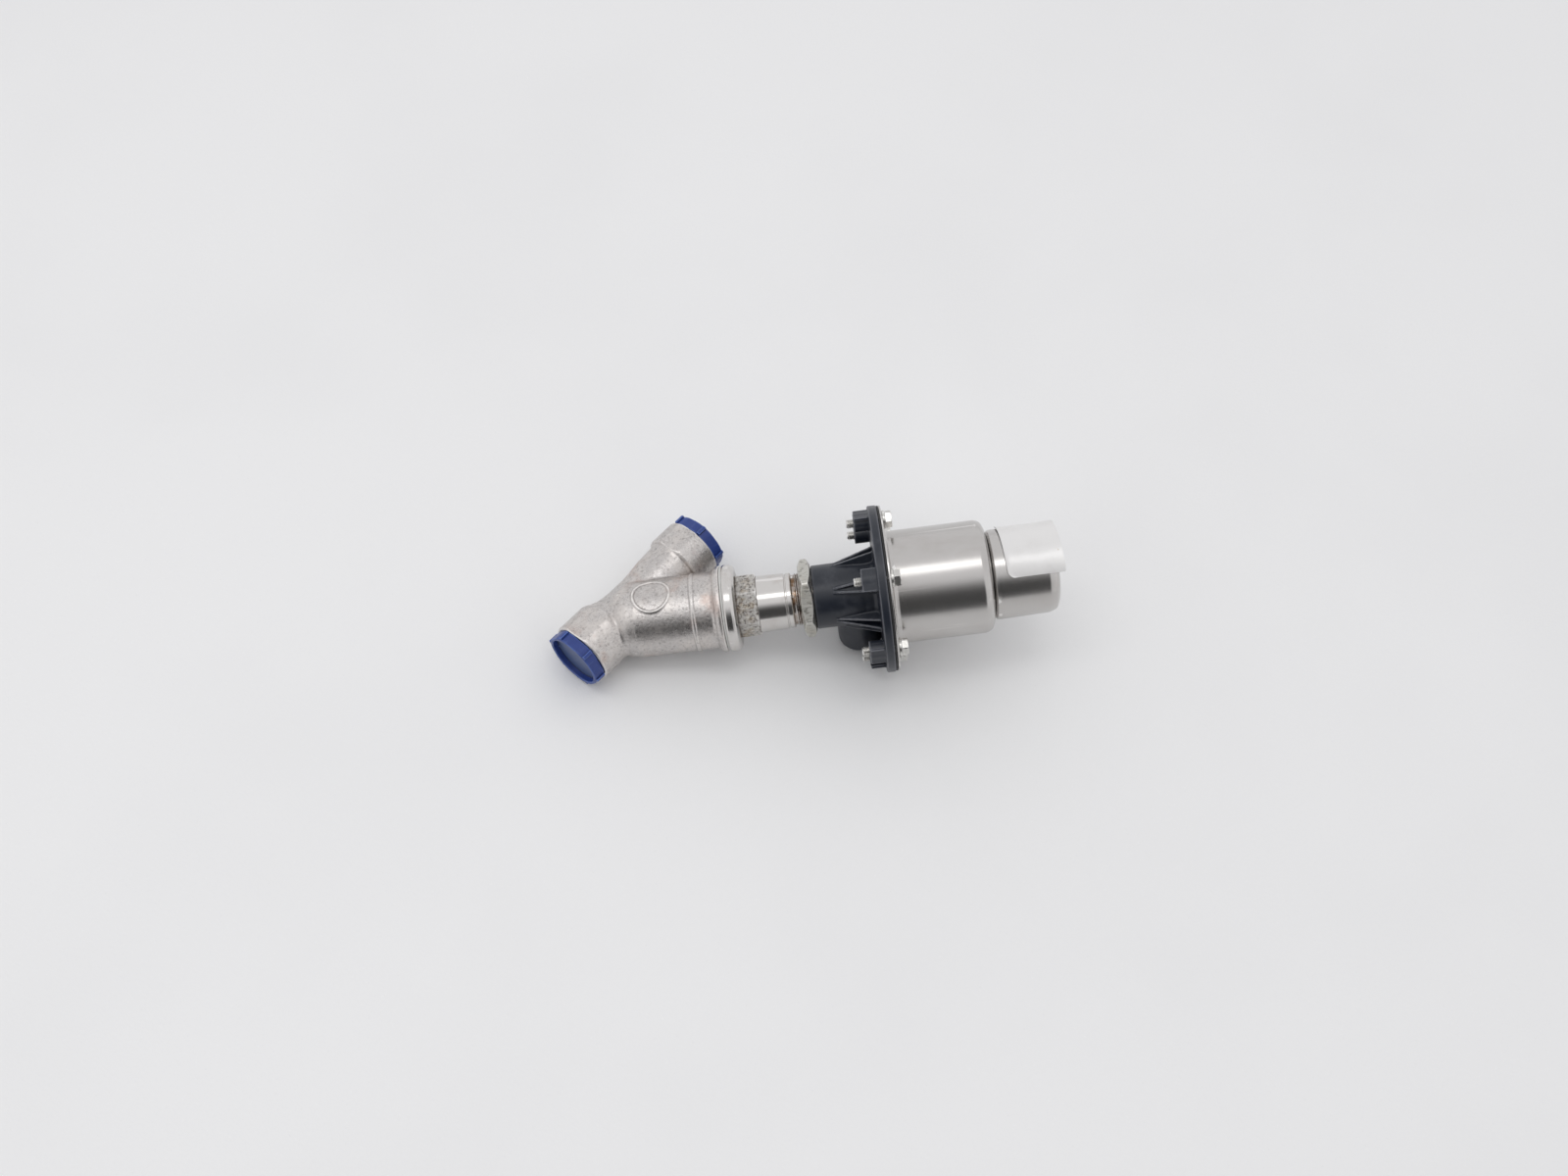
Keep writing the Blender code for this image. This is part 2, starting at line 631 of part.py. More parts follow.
def build_label(parts, axis, foil):
    """A curved sheet laid round the cap; its edge stands out past the rounded end."""
    columns, rows, corner = 18, 2, 4.5
    arc = math.radians(LABEL_TO - LABEL_FROM) * LABEL_R
    work = bmesh.new()
    grid = []
    for i in range(columns + 1):
        part = i / columns
        part = 0.5 - 0.5 * math.cos(math.pi * part) * (0.65 + 0.35 * abs(2.0 * part - 1.0))
        along = arc * part
        angle = math.radians(LABEL_FROM) + along / LABEL_R
        edge = min(along, arc - along)
        pull = corner - math.sqrt(max(corner ** 2 - max(corner - edge, 0.0) ** 2, 0.0))
        skew = 0.05 * (along - 0.5 * arc)
        low = 259.4 + skew + pull
        high = 296.5 + skew - 0.25 * pull
        grid.append([work.verts.new((LABEL_R * math.cos(angle) * MM,
                                     LABEL_R * math.sin(angle) * MM,
                                     (low + (high - low) * j / rows) * MM))
                     for j in range(rows + 1)])
    for i in range(columns):
        for j in range(rows):
            work.faces.new((grid[i][j], grid[i + 1][j], grid[i + 1][j + 1], grid[i][j + 1]))
    mesh = bpy.data.meshes.new("label_plate")
    work.to_mesh(mesh)
    work.free()
    label = add_object("label_plate", mesh, parts, axis)
    sheet = label.modifiers.new("Sheet", "SOLIDIFY")
    sheet.thickness = 0.35 * MM
    sheet.offset = 1.0
    smooth_round(label)
    paint(label, foil)


def build_screw(index, angle, parts, cutters, axis, steel):
    place = around(angle, SCREW_CIRCLE_R)
    name = "flange_screw_%d" % (index + 1)
    shank = turned(name, [(0.0, HEAD_LOW + 1.0), (SCREW_R, HEAD_LOW + 1.0),
                          (SCREW_R, SCREW_TIP + 0.7), (SCREW_R - 0.7, SCREW_TIP),
                          (0.0, SCREW_TIP)], parts, axis, closed=False, steps=HOLE_ROUND)
    shank.matrix_local = place
    corner = SCREW_AF / math.sqrt(3.0)
    dome = turned(name + "_dome", [(0.0, HEAD_TOP), (corner - 0.9, HEAD_TOP),
                                   (corner + 0.1, HEAD_TOP - 0.6),
                                   (corner + 0.1, HEAD_LOW), (0.0, HEAD_LOW)],
                  cutters, axis, closed=False, steps=12)
    dome.matrix_local = place
    head = hex_prism(name + "_head", SCREW_AF, HEAD_LOW - 1.0, HEAD_TOP + 1.0, 17.0 * index,
                     cutters, axis)
    head.matrix_local = place
    combine(dome, as_cutter(head), "INTERSECT")
    combine(shank, as_cutter(dome), "UNION")
    smooth_round(shank)
    paint(shank, steel)
    washer = ring("flange_washer_%d" % (index + 1), SCREW_R + GAP, 6.0, WASHER_LOW,
                  WASHER_TOP, parts, axis)
    washer.matrix_local = place
    smooth_round(washer)
    paint(washer, steel)


def build_actuator(parts, cutters, axis, looks):
    build_lower_housing(parts, cutters, axis, looks["black_nylon"])
    build_diaphragm(parts, cutters, axis, looks["black_rubber"])
    build_spring_housing(parts, cutters, axis, looks["satin_steel"])
    build_housing_cap(parts, axis, looks["satin_steel"])
    build_label(parts, axis, looks["label_foil"])
    for index, angle in enumerate(screw_angles()):
        build_screw(index, angle, parts, cutters, axis, looks["zinc_steel"])
    spring = helix("closing_spring", 20.5, 1.8, 188.4, 288.9, 6.5, 14, parts, axis)
    paint(spring, looks["spring_steel"])
    pieces = [(ring("stem_guide", STEM_R + GAP, 8.4, 151.9, 165.0, parts, axis), "brass"),
              (ring("stem_seal", STEM_R + GAP, 8.4, 165.8, 170.0, parts, axis),
               "black_rubber"),
              (ring("spring_seat", 8.0, 22.7, 291.1, 292.8, parts, axis), "zinc_steel")]
    for obj, look in pieces:
        smooth_round(obj)
        paint(obj, looks[look])


def settle_on_floor(parts, root):
    """Move the root so the origin sits at the middle of the valve's footprint."""
    bpy.context.view_layer.update()
    corners = [obj.matrix_world @ vertex.co for obj in parts.objects if obj.type == "MESH"
               for vertex in obj.data.vertices]
    low = [min(c[i] for c in corners) for i in range(3)]
    high = [max(c[i] for c in corners) for i in range(3)]
    root.location = (-0.5 * (low[0] + high[0]), -0.5 * (low[1] + high[1]), -low[2])
    bpy.context.view_layer.update()


def main():
    clear_scene()
    parts = make_collection("angle_seat_valve")
    cutters = make_collection("cutters")
    looks = {
        "cast_steel": make_material("cast_steel", (0.46, 0.43, 0.41), 1.0, 0.42),
        "turned_steel": make_material("turned_steel", (0.58, 0.56, 0.54), 1.0, 0.24),
        "satin_steel": make_material("satin_steel", (0.56, 0.54, 0.53), 1.0, 0.28),
        "stem_steel": make_material("stem_steel", (0.60, 0.59, 0.58), 1.0, 0.20),
        "zinc_steel": make_material("zinc_steel", (0.62, 0.61, 0.58), 1.0, 0.32),
        "nut_steel": make_material("nut_steel", (0.55, 0.54, 0.50), 1.0, 0.45),
        "spring_steel": make_material("spring_steel", (0.30, 0.30, 0.31), 1.0, 0.35),
        "black_nylon": make_material("black_nylon", (0.030, 0.033, 0.045), 0.0, 0.45),
        "black_rubber": make_material("black_rubber", (0.02, 0.02, 0.02), 0.0, 0.7),
        "packing_white": make_material("packing_white", (0.82, 0.82, 0.80), 0.0, 0.5),
        "brass": make_material("brass", (0.62, 0.46, 0.22), 1.0, 0.3),
        "blue_plastic": make_material("blue_plastic", (0.030, 0.070, 0.330), 0.0, 0.4),
        "label_foil": make_material("label_foil", (0.72, 0.71, 0.70), 0.6, 0.35),
    }
    lean = Matrix.Rotation(math.radians(-LEAN), 4, "X")
    root = add_empty("valve_frame", parts, matrix=lean)
    angle = math.radians(BRANCH)
    out = Vector((math.cos(angle), -math.sin(angle), 0.0))
    normal = Vector((0.0, 0.0, 1.0))
    side = out.cross(normal)
    frame = Matrix((normal, side, out)).transposed().to_4x4()
    axis = add_empty("actuator_axis", parts, root, frame)
    build_body(parts, cutters, root, axis, looks["cast_steel"])
    build_end_cap("inlet_cap", INLET_END, -1.0, -42.6, parts, cutters, root,
                  looks["blue_plastic"])
    build_end_cap("outlet_cap", OUTLET_END, 1.0, 21.6, parts, cutters, root,
                  looks["blue_plastic"])
    build_bonnet(parts, cutters, axis, looks["turned_steel"])
    build_packing(parts, axis, looks)
    nut = nut_blank("lock_nut", NUT_AF, THREAD_R + GAP, NUT_LOW, NUT_TOP, 15.0, parts,
                    cutters, axis)
    smooth_round(nut)
    paint(nut, looks["nut_steel"])
    build_stem(parts, cutters, axis, looks)
    build_actuator(parts, cutters, axis, looks)
    settle_on_floor(parts, root)


main()
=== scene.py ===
"""Looks of an angle-seat diaphragm valve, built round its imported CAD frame.

Cast and moulded pieces are meshed from distance fields, which gives them soft fillets. Turned
pieces are profiles swept round their axis. Sizes are in millimetres, in the frame of the pipe
run or of the actuator axis, and each piece is placed by a matrix that comes from the record.
"""

import json
import math

import bmesh
import bpy
import numpy as np
from mathutils import Matrix, Vector


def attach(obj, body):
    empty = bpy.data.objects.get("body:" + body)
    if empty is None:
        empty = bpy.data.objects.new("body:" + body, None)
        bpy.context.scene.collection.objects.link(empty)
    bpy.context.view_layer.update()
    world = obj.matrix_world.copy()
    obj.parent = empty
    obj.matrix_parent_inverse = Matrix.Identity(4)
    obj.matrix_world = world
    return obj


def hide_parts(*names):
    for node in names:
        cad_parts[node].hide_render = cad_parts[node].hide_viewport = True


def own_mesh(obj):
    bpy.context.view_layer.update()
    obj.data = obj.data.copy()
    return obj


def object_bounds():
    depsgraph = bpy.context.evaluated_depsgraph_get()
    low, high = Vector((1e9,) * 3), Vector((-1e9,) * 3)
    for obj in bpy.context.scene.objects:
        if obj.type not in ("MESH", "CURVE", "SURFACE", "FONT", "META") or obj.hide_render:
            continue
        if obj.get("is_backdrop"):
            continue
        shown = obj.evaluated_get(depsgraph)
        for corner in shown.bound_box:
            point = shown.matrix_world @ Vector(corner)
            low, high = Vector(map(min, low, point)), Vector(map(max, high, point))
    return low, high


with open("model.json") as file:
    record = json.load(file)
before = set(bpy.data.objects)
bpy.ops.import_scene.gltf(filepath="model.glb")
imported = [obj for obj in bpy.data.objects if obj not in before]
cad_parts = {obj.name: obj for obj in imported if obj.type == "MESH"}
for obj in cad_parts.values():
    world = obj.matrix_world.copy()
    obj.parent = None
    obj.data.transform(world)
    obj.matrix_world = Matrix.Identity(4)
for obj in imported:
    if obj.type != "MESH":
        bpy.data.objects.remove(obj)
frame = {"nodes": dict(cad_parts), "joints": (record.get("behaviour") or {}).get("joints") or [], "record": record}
CAD_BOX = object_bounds()

MM = 0.001
ROOT2 = math.sqrt(0.5)
SCREW_ANGLES = [30.0 + 60.0 * i for i in range(6)]
SCREW_CIRCLE = 48.3
TURN_AT = 150.0                # the actuator's joint point, measured along the axis
INLET_END, OUTLET_END = -30.9, 79.0
RECESS_RADIUS, RECESS_DEPTH = 18.0, 4.2


# ---------------------------------------------------------------- places

def record_frames():
    """Matrices of the pipe run (X along it) and of the actuator axis (Z along it)."""
    joints = {joint["name"]: joint for joint in frame["joints"]}
    mounts = {mount["name"]: mount for mount in frame["record"]["mounts"]}
    out = Vector(joints["actuator_turn"]["axis"]).normalized()
    normal = Vector(mounts["inlet_flat"]["axis"]).normalized()
    start = Vector(joints["actuator_turn"]["pos_m"]) - out * TURN_AT * MM
    along = Vector((1.0, 0.0, 0.0))
    run = Matrix((along, normal.cross(along), normal)).transposed().to_4x4()
    axis = Matrix((normal, out.cross(normal), out)).transposed().to_4x4()
    run.translation = axis.translation = start
    return run, axis


RUN, AXIS = record_frames()


def round_axis(angle, radius):
    return AXIS @ Matrix.Rotation(math.radians(angle), 4, "Z") @ Matrix.Translation(
        (radius * MM, 0.0, 0.0))


def run_end(at, direction):
    return RUN @ Matrix.Translation((at * MM, 0.0, 0.0)) @ Matrix.Rotation(
        math.radians(90.0 * direction), 4, "Y")


def add_piece(name, mesh, place, material, body, nodes=()):
    """Put a mesh in its place, riding on a body. The object itself stays at the origin."""
    mesh.transform(place)
    piece = bpy.data.objects.new(name, mesh)
    bpy.context.scene.collection.objects.link(piece)
    for item in material if isinstance(material, (list, tuple)) else [material]:
        mesh.materials.append(item)
    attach(piece, body)
    if nodes:
        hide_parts(*nodes)
    return piece


def make_mesh(name, points, faces, sharp=48.0):
    mesh = bpy.data.meshes.new(name)
    mesh.from_pydata((np.asarray(points) * MM).tolist(), [], faces)
    mesh.update()
    mesh.shade_smooth()
    mesh.set_sharp_from_angle(angle=math.radians(sharp))
    return mesh


# ---------------------------------------------------------------- turned pieces

def soften(profile, closed, default=0.3, steps=4):
    """Replace each corner of a (radius, height[, rounding]) outline by an arc."""
    count, out = len(profile), []
    for i, corner in enumerate(profile):
        here = np.array(corner[:2], float)
        size = corner[2] if len(corner) > 2 else default
        if size <= 0.0 or (not closed and i in (0, count - 1)):
            out.append(here)
            continue
        before = np.array(profile[i - 1][:2], float) - here
        after = np.array(profile[(i + 1) % count][:2], float) - here
        lengths = np.linalg.norm(before), np.linalg.norm(after)
        before, after = before / lengths[0], after / lengths[1]
        bend = math.acos(max(-1.0, min(1.0, float(before @ after))))
        if bend > math.radians(172.0) or bend < math.radians(4.0):
            out.append(here)
            continue
        cut = min(size / math.tan(0.5 * bend), 0.46 * min(lengths))
        start, end = here + before * cut, here + after * cut
        for t in np.linspace(0.0, 1.0, steps + 1):
            out.append((1 - t) ** 2 * start + 2 * t * (1 - t) * here + t ** 2 * end)
    return np.array(out)


def lathe(name, profile, steps=144, closed=True, shape=None, default=0.3, sharp=48.0):
    """Sweep an outline round Z. shape(r, z, angle) may change the radius of any point."""
    rows = soften(profile, closed, default)
    angle = 2.0 * math.pi * np.arange(steps) / steps
    radius = np.repeat(rows[:, :1], steps, axis=1)
    height = np.repeat(rows[:, 1:], steps, axis=1)
    if shape is not None:
        radius = shape(radius, height, angle[None, :])
    points = np.stack([radius * np.cos(angle), radius * np.sin(angle), height], -1)
    count = len(rows)
    tips = [] if closed else [i for i in (0, count - 1) if rows[i, 0] < 1e-6]
    index = np.arange(count * steps).reshape(count, steps)
    for i in tips:
        index[i] = index[i, 0]
    flat = points.reshape(-1, 3)
    faces = []
    last = count if closed else count - 1
    for i in range(last):
        a, b = index[i], index[(i + 1) % count]
        a2, b2 = np.roll(a, -1), np.roll(b, -1)
        if i in tips:
            faces += np.stack([a, b, b2], -1).tolist()
        elif (i + 1) % count in tips and not closed:
            faces += np.stack([a, b, a2], -1).tolist()
        else:
            faces += np.stack([a, b, b2, a2], -1).tolist()
    used = np.unique(np.concatenate([np.ravel(f) for f in faces]))
    renumber = np.full(len(flat), -1)
    renumber[used] = np.arange(len(used))
    faces = [[int(renumber[v]) for v in face] for face in faces]
    return outward(make_mesh(name, flat[used], faces, sharp))


def outward(mesh):
    """Turn the faces of a closed mesh outwards."""
    work = bmesh.new()
    work.from_mesh(mesh)
    bmesh.ops.recalc_face_normals(work, faces=work.faces)
    work.to_mesh(mesh)
    work.free()
    return mesh


def soft_min(a, b, k):
    h = np.clip(0.5 + 0.5 * (b - a) / k, 0.0, 1.0)
    return b + (a - b) * h - k * h * (1.0 - h)


def soft_max(a, b, k):
    return -soft_min(-a, -b, k)


def hexagon_radius(across, corner, angle):
    sector = np.mod(angle - math.radians(corner), math.pi / 3.0) - math.pi / 6.0
    return 0.5 * across / np.cos(sector)


def wave(height, angle, pitch):
    """A thread's cross-section between 0 at the root and 1 at the crest."""
    phase = np.mod(height / pitch - angle / (2.0 * math.pi), 1.0)
    return np.clip(1.35 - np.abs(2.0 * phase - 1.0) * 1.7, 0.0, 1.0)


def climb(radius, low, high, spacing):
    """Plain outline points close enough together to carry a thread."""
    return [(radius, z, 0.0) for z in np.arange(low, high, spacing)]


# ---------------------------------------------------------------- fields

def outline_table(profile, step=0.2, margin=6.0):
    """Signed distance to a solid of revolution, tabled over radius and height."""
    points = [tuple(p[:2]) for p in profile]
    points += [(-r, z) for r, z in reversed(points) if r > 1e-6]
    points = np.array(points, float)
    low = points[:, 1].min() - margin
    radii = np.arange(0.0, points[:, 0].max() + margin, step)
    heights = np.arange(low, points[:, 1].max() + margin, step)
    r, z = np.meshgrid(radii, heights, indexing="ij")
    best, inside = np.full(r.shape, 1e9), np.zeros(r.shape, bool)
    for a, b in zip(points, np.roll(points, -1, axis=0)):
        edge = b - a
        t = np.clip(((r - a[0]) * edge[0] + (z - a[1]) * edge[1]) / max(edge @ edge, 1e-12), 0, 1)
        best = np.minimum(best, np.hypot(r - a[0] - t * edge[0], z - a[1] - t * edge[1]))
        if a[1] != b[1]:
            crosses = (z < a[1]) != (z < b[1])
            inside ^= crosses & (r < a[0] + (z - a[1]) * edge[0] / edge[1])
    return np.where(inside, -best, best), low, step


def read_table(table, radius, height):
    values, low, step = table
    i = np.clip(radius / step, 0.0, values.shape[0] - 1.001)
    j = np.clip((height - low) / step, 0.0, values.shape[1] - 1.001)
    i0, j0 = i.astype(int), j.astype(int)
    fi, fj = i - i0, j - j0
    inner = values[i0, j0] * (1 - fj) + values[i0, j0 + 1] * fj
    outer = values[i0 + 1, j0] * (1 - fj) + values[i0 + 1, j0 + 1] * fj
    return inner * (1 - fi) + outer * fi


def grid_faces(inside, number):
    """Quads round every grid edge that the surface crosses, facing outwards."""
    quads = []
    for axis in range(3):
        near = np.moveaxis(inside, axis, 0)
        cells = np.moveaxis(number, axis, 0)
        i, j, k = np.nonzero(near[:-1, 1:-1, 1:-1] != near[1:, 1:-1, 1:-1])
        leaving = near[i, j + 1, k + 1]
        quad = np.stack([cells[i, j, k], cells[i, j + 1, k], cells[i, j + 1, k + 1],
                         cells[i, j, k + 1]], -1)
        flip = leaving if axis == 1 else ~leaving
        quad[flip] = quad[flip][:, ::-1]
        quads.append(quad)
    return np.concatenate(quads)


def field_mesh(name, field, low, high, step, sharp=60.0):
    """Mesh the zero surface of a distance field and settle its points on that surface."""
    sides = [np.arange(a, b + step, step) for a, b in zip(low, high)]
    values = np.empty([len(side) for side in sides], np.float32)
    for i, x in enumerate(sides[0]):
        y, z = np.meshgrid(sides[1], sides[2], indexing="ij")
        values[i] = field(np.full_like(y, x), y, z)
    inside = values < 0.0
    corners = [(i, j, k) for i in (0, 1) for j in (0, 1) for k in (0, 1)]
    size = [n - 1 for n in inside.shape]
    filled = sum(inside[i:i + size[0], j:j + size[1], k:k + size[2]].astype(np.int8)
                 for i, j, k in corners)
    cells = np.argwhere((filled > 0) & (filled < 8))
    number = np.full(size, -1, np.int64)
    number[tuple(cells.T)] = np.arange(len(cells))
    held = np.stack([values[tuple((cells + c).T)] for c in corners], -1)
    total, hits = np.zeros((len(cells), 3)), np.zeros(len(cells))
    for a, ca in enumerate(corners):
        for b, cb in enumerate(corners):
            if b <= a or sum(abs(p - q) for p, q in zip(ca, cb)) != 1:
                continue
            crossed = (held[:, a] < 0) != (held[:, b] < 0)
            t = held[crossed, a] / (held[crossed, a] - held[crossed, b])
            total[crossed] += np.array(ca) + t[:, None] * (np.array(cb) - np.array(ca))
            hits[crossed] += 1
    points = np.array([side[0] for side in sides]) + (cells + total / hits[:, None]) * step
    quads = grid_faces(inside, number)
    for _ in range(3):
        points = settle(relax(points, quads, 0.35), field)
    return make_mesh(name, points, quads.tolist(), sharp)


def relax(points, quads, share):
    """Move each point part of the way to the middle of its faces."""
    middle = points[quads].mean(axis=1)
    total, count = np.zeros_like(points), np.zeros(len(points))
    for i in range(4):
        np.add.at(total, quads[:, i], middle)
        np.add.at(count, quads[:, i], 1)
    return points + share * (total / np.maximum(count, 1)[:, None] - points)


def settle(points, field, reach=0.08):
    x, y, z = points.T
    slope = np.stack([field(x + reach, y, z) - field(x - reach, y, z),
                      field(x, y + reach, z) - field(x, y - reach, z),
                      field(x, y, z + reach) - field(x, y, z - reach)], -1) / (2 * reach)
    steep = np.maximum((slope ** 2).sum(-1), 0.25)
    return points - np.clip(field(x, y, z) / steep, -0.4, 0.4)[:, None] * slope


# ---------------------------------------------------------------- materials

class Shader:
    """A Principled material and the few node patterns that the surfaces share."""

    def __init__(self, name, colour, metallic, roughness, own=None):
        self.material = bpy.data.materials.new(name)
        self.material.use_nodes = True
        self.tree = self.material.node_tree
        self.shader = self.tree.nodes["Principled BSDF"]
        self.shader.inputs["Base Color"].default_value = (*colour, 1.0)
        self.shader.inputs["Metallic"].default_value = metallic
        self.shader.inputs["Roughness"].default_value = roughness
        self.colour = tuple(colour)
        self.normal = None
        self.paint = None
        self.rough = None
        self.base_rough = roughness
        self.where = self.tree.nodes.new("ShaderNodeTexCoord").outputs["Object"]
        if own is not None:
            back = own.inverted()
            self.where = self.node("ShaderNodeMapping", {
                "Vector": self.where, "Location": back.translation,
                "Rotation": back.to_euler()}).outputs["Vector"]

    def node(self, kind, inputs=(), **settings):
        made = self.tree.nodes.new(kind)
        for key, value in settings.items():
            setattr(made, key, value)
        for key, value in dict(inputs).items():
            if isinstance(value, bpy.types.NodeSocket):
                self.tree.links.new(value, made.inputs[key])
            else:
                made.inputs[key].default_value = value
        return made

    def noise(self, scale, detail=4.0, roughness=0.55, stretch=(1.0, 1.0, 1.0), shift=0.0):
        place = self.node("ShaderNodeMapping", {"Vector": self.where, "Scale": stretch,
                                                "Location": (shift, shift, shift)})
        return self.node("ShaderNodeTexNoise", {"Vector": place.outputs["Vector"],
                                                "Scale": scale, "Detail": detail,
                                                "Roughness": roughness}).outputs["Fac"]

    def range(self, value, low, high, to_low=0.0, to_high=1.0):
        return self.node("ShaderNodeMapRange", {"Value": value, "From Min": low,
                                                "From Max": high, "To Min": to_low,
                                                "To Max": to_high},
                         interpolation_type="SMOOTHSTEP").outputs["Result"]

    def mix(self, share, colour):
        """Lay a colour over what is painted so far."""
        under = self.paint if self.paint is not None else (*self.colour, 1.0)
        over = (*colour, 1.0) if len(colour) == 3 else colour
        made = self.node("ShaderNodeMix", data_type="RGBA")
        for socket, value in ((made.inputs[0], share), (made.inputs[6], under),
                              (made.inputs[7], over)):
            if isinstance(value, bpy.types.NodeSocket):
                self.tree.links.new(value, socket)
            else:
                socket.default_value = value
        self.paint = made.outputs[2]

    def add_rough(self, value, amount):
        """Raise or lower the roughness where a pattern is above or below its middle."""
        base = self.rough if self.rough is not None else self.base_rough
        self.rough = self.node("ShaderNodeMath", {0: value, 1: amount, 2: base},
                               operation="MULTIPLY_ADD").outputs[0]

    def bump(self, value, depth, strength=1.0):
        inputs = {"Height": value, "Distance": depth, "Strength": strength}
        if self.normal is not None:
            inputs["Normal"] = self.normal
        self.normal = self.node("ShaderNodeBump", inputs).outputs["Normal"]

    def centred(self, value):
        return self.node("ShaderNodeMath", {0: value, 1: 0.5}, operation="SUBTRACT").outputs[0]

    def edges(self, low, high):
        """1 on outer edges, 0 on flat surfaces."""
        point = self.node("ShaderNodeNewGeometry").outputs["Pointiness"]
        return self.range(point, low, high)

    def crease_shade(self, share, colour):
        """Painted shade in the hollow corners: a dark colour laid where the surface folds inward."""
        point = self.node("ShaderNodeNewGeometry").outputs["Pointiness"]
        self.mix(self.range(point, 0.492, 0.455, 0.0, share), colour)

    def height(self, low, high):
        """A share that rises from 0 to 1 between two heights along the piece's Z."""
        part = self.node("ShaderNodeSeparateXYZ", {"Vector": self.where}).outputs["Z"]
        return self.range(part, low * MM, high * MM)

    def recess(self, radius, depth):
        """1 on the sunk floor of a plug, which lies inside a radius round the run."""
        parts = self.node("ShaderNodeSeparateXYZ", {"Vector": self.where}).outputs
        flat = self.node("ShaderNodeCombineXYZ", {"Y": parts["Y"], "Z": parts["Z"]})
        out = self.node("ShaderNodeVectorMath", {0: flat.outputs["Vector"]},
                        operation="LENGTH").outputs["Value"]
        middle = 0.5 * (INLET_END + OUTLET_END) * MM
        away = self.node("ShaderNodeMath", {0: parts["X"], 1: middle}, operation="SUBTRACT")
        away = self.node("ShaderNodeMath", {0: away.outputs[0]}, operation="ABSOLUTE").outputs[0]
        face = 0.5 * (OUTLET_END - INLET_END)
        shares = (self.range(out, radius * MM, (radius - 0.8) * MM),
                  self.range(away, (face + depth + 1.2) * MM, (face + depth) * MM, 0.0, 0.75))
        return self.node("ShaderNodeMath", dict(enumerate(shares)),
                         operation="MULTIPLY").outputs[0]

    def done(self):
        for name, value in (("Base Color", self.paint), ("Roughness", self.rough),
                            ("Normal", self.normal)):
            if value is not None:
                self.tree.links.new(value, self.shader.inputs[name])
        return self.material


def cast_steel():
    """Blasted investment casting: strong grain, pinkish stains, dark pits, rubbed edges."""
    s = Shader("cast_steel", (0.57, 0.545, 0.53), 1.0, 0.29)
    coarse = s.noise(560.0, 5.0, 0.68)
    mottle = s.noise(210.0, 4.0, 0.62, shift=17.0)
    fine = s.noise(2400.0, 3.0, 0.6, shift=3.0)
    cloud = s.noise(60.0, 5.0, 0.6, shift=7.0)
    s.mix(s.range(cloud, 0.38, 0.70), (0.67, 0.63, 0.60))
    s.mix(s.range(s.noise(42.0, 5.0, 0.62, shift=11.0), 0.54, 0.74, 0.0, 0.65),
          (0.50, 0.375, 0.325))
    s.mix(s.range(coarse, 0.33, 0.47, 0.55, 0.0), (0.17, 0.155, 0.15))
    s.mix(s.range(coarse, 0.56, 0.68, 0.0, 0.40), (0.84, 0.81, 0.79))
    s.mix(s.range(mottle, 0.34, 0.50, 0.16, 0.0), (0.30, 0.26, 0.245))
    s.mix(s.edges(0.505, 0.55), (0.86, 0.83, 0.80))
    # painted shade: a darker colour in the concave creases of the casting
    s.crease_shade(0.80, (0.12, 0.095, 0.085))
    s.add_rough(s.centred(cloud), 0.22)
    s.add_rough(s.centred(fine), 0.26)
    s.bump(coarse, 0.00026, 0.9)
    s.bump(mottle, 0.00018, 0.6)
    s.bump(fine, 0.00010, 0.7)
    return s.done()


def turned_steel():
    """Turned faces with fine rings, heat tint by the thread and faint stains."""
    s = Shader("turned_steel", (0.66, 0.64, 0.62), 1.0, 0.19, AXIS)
    rings = s.noise(1.0, 3.0, 0.5, stretch=(60.0, 60.0, 5200.0))
    cloud = s.noise(90.0, 5.0, 0.6)
    s.mix(s.range(cloud, 0.45, 0.75, 0.0, 0.55), (0.55, 0.51, 0.48))
    brown = s.range(s.noise(170.0, 4.0, 0.6, shift=5.0), 0.40, 0.62, 0.35, 1.0)
    near = s.height(119.2, 121.4)
    stain = s.node("ShaderNodeMath", {0: brown, 1: near}, operation="MULTIPLY").outputs[0]
    s.mix(stain, (0.19, 0.115, 0.065))
    s.mix(s.edges(0.51, 0.58), (0.82, 0.80, 0.78))
    # painted shade: a darker colour in the concave creases of the turning
    s.crease_shade(0.75, (0.13, 0.10, 0.085))
    s.add_rough(s.centred(rings), 0.16)
    s.add_rough(s.centred(cloud), 0.14)
    s.bump(rings, 0.00002, 0.5)
    return s.done()


def hexagon_steel():
    """The bonnet's hexagon: rough as cast, scuffed by spanners, with brown stains."""
    s = Shader("hexagon_steel", (0.60, 0.58, 0.55), 1.0, 0.40, AXIS)
    dents = s.noise(520.0, 5.0, 0.68)
    fine = s.noise(1700.0, 4.0, 0.62, shift=2.0)
    s.mix(s.range(s.noise(110.0, 5.0, 0.62, shift=9.0), 0.46, 0.66, 0.0, 0.75),
          (0.40, 0.31, 0.20))
    s.mix(s.range(dents, 0.38, 0.50, 0.85, 0.0), (0.13, 0.11, 0.095))
    s.mix(s.range(dents, 0.54, 0.64, 0.0, 0.6), (0.86, 0.84, 0.81))
    s.mix(s.edges(0.505, 0.56), (0.88, 0.86, 0.84))
    # painted shade: a darker colour in the concave creases round the hexagon
    s.crease_shade(0.7, (0.10, 0.08, 0.065))
    s.add_rough(s.centred(dents), 0.28)
    s.bump(dents, 0.0010, 1.0)
    s.bump(fine, 0.00014, 0.7)
    return s.done()


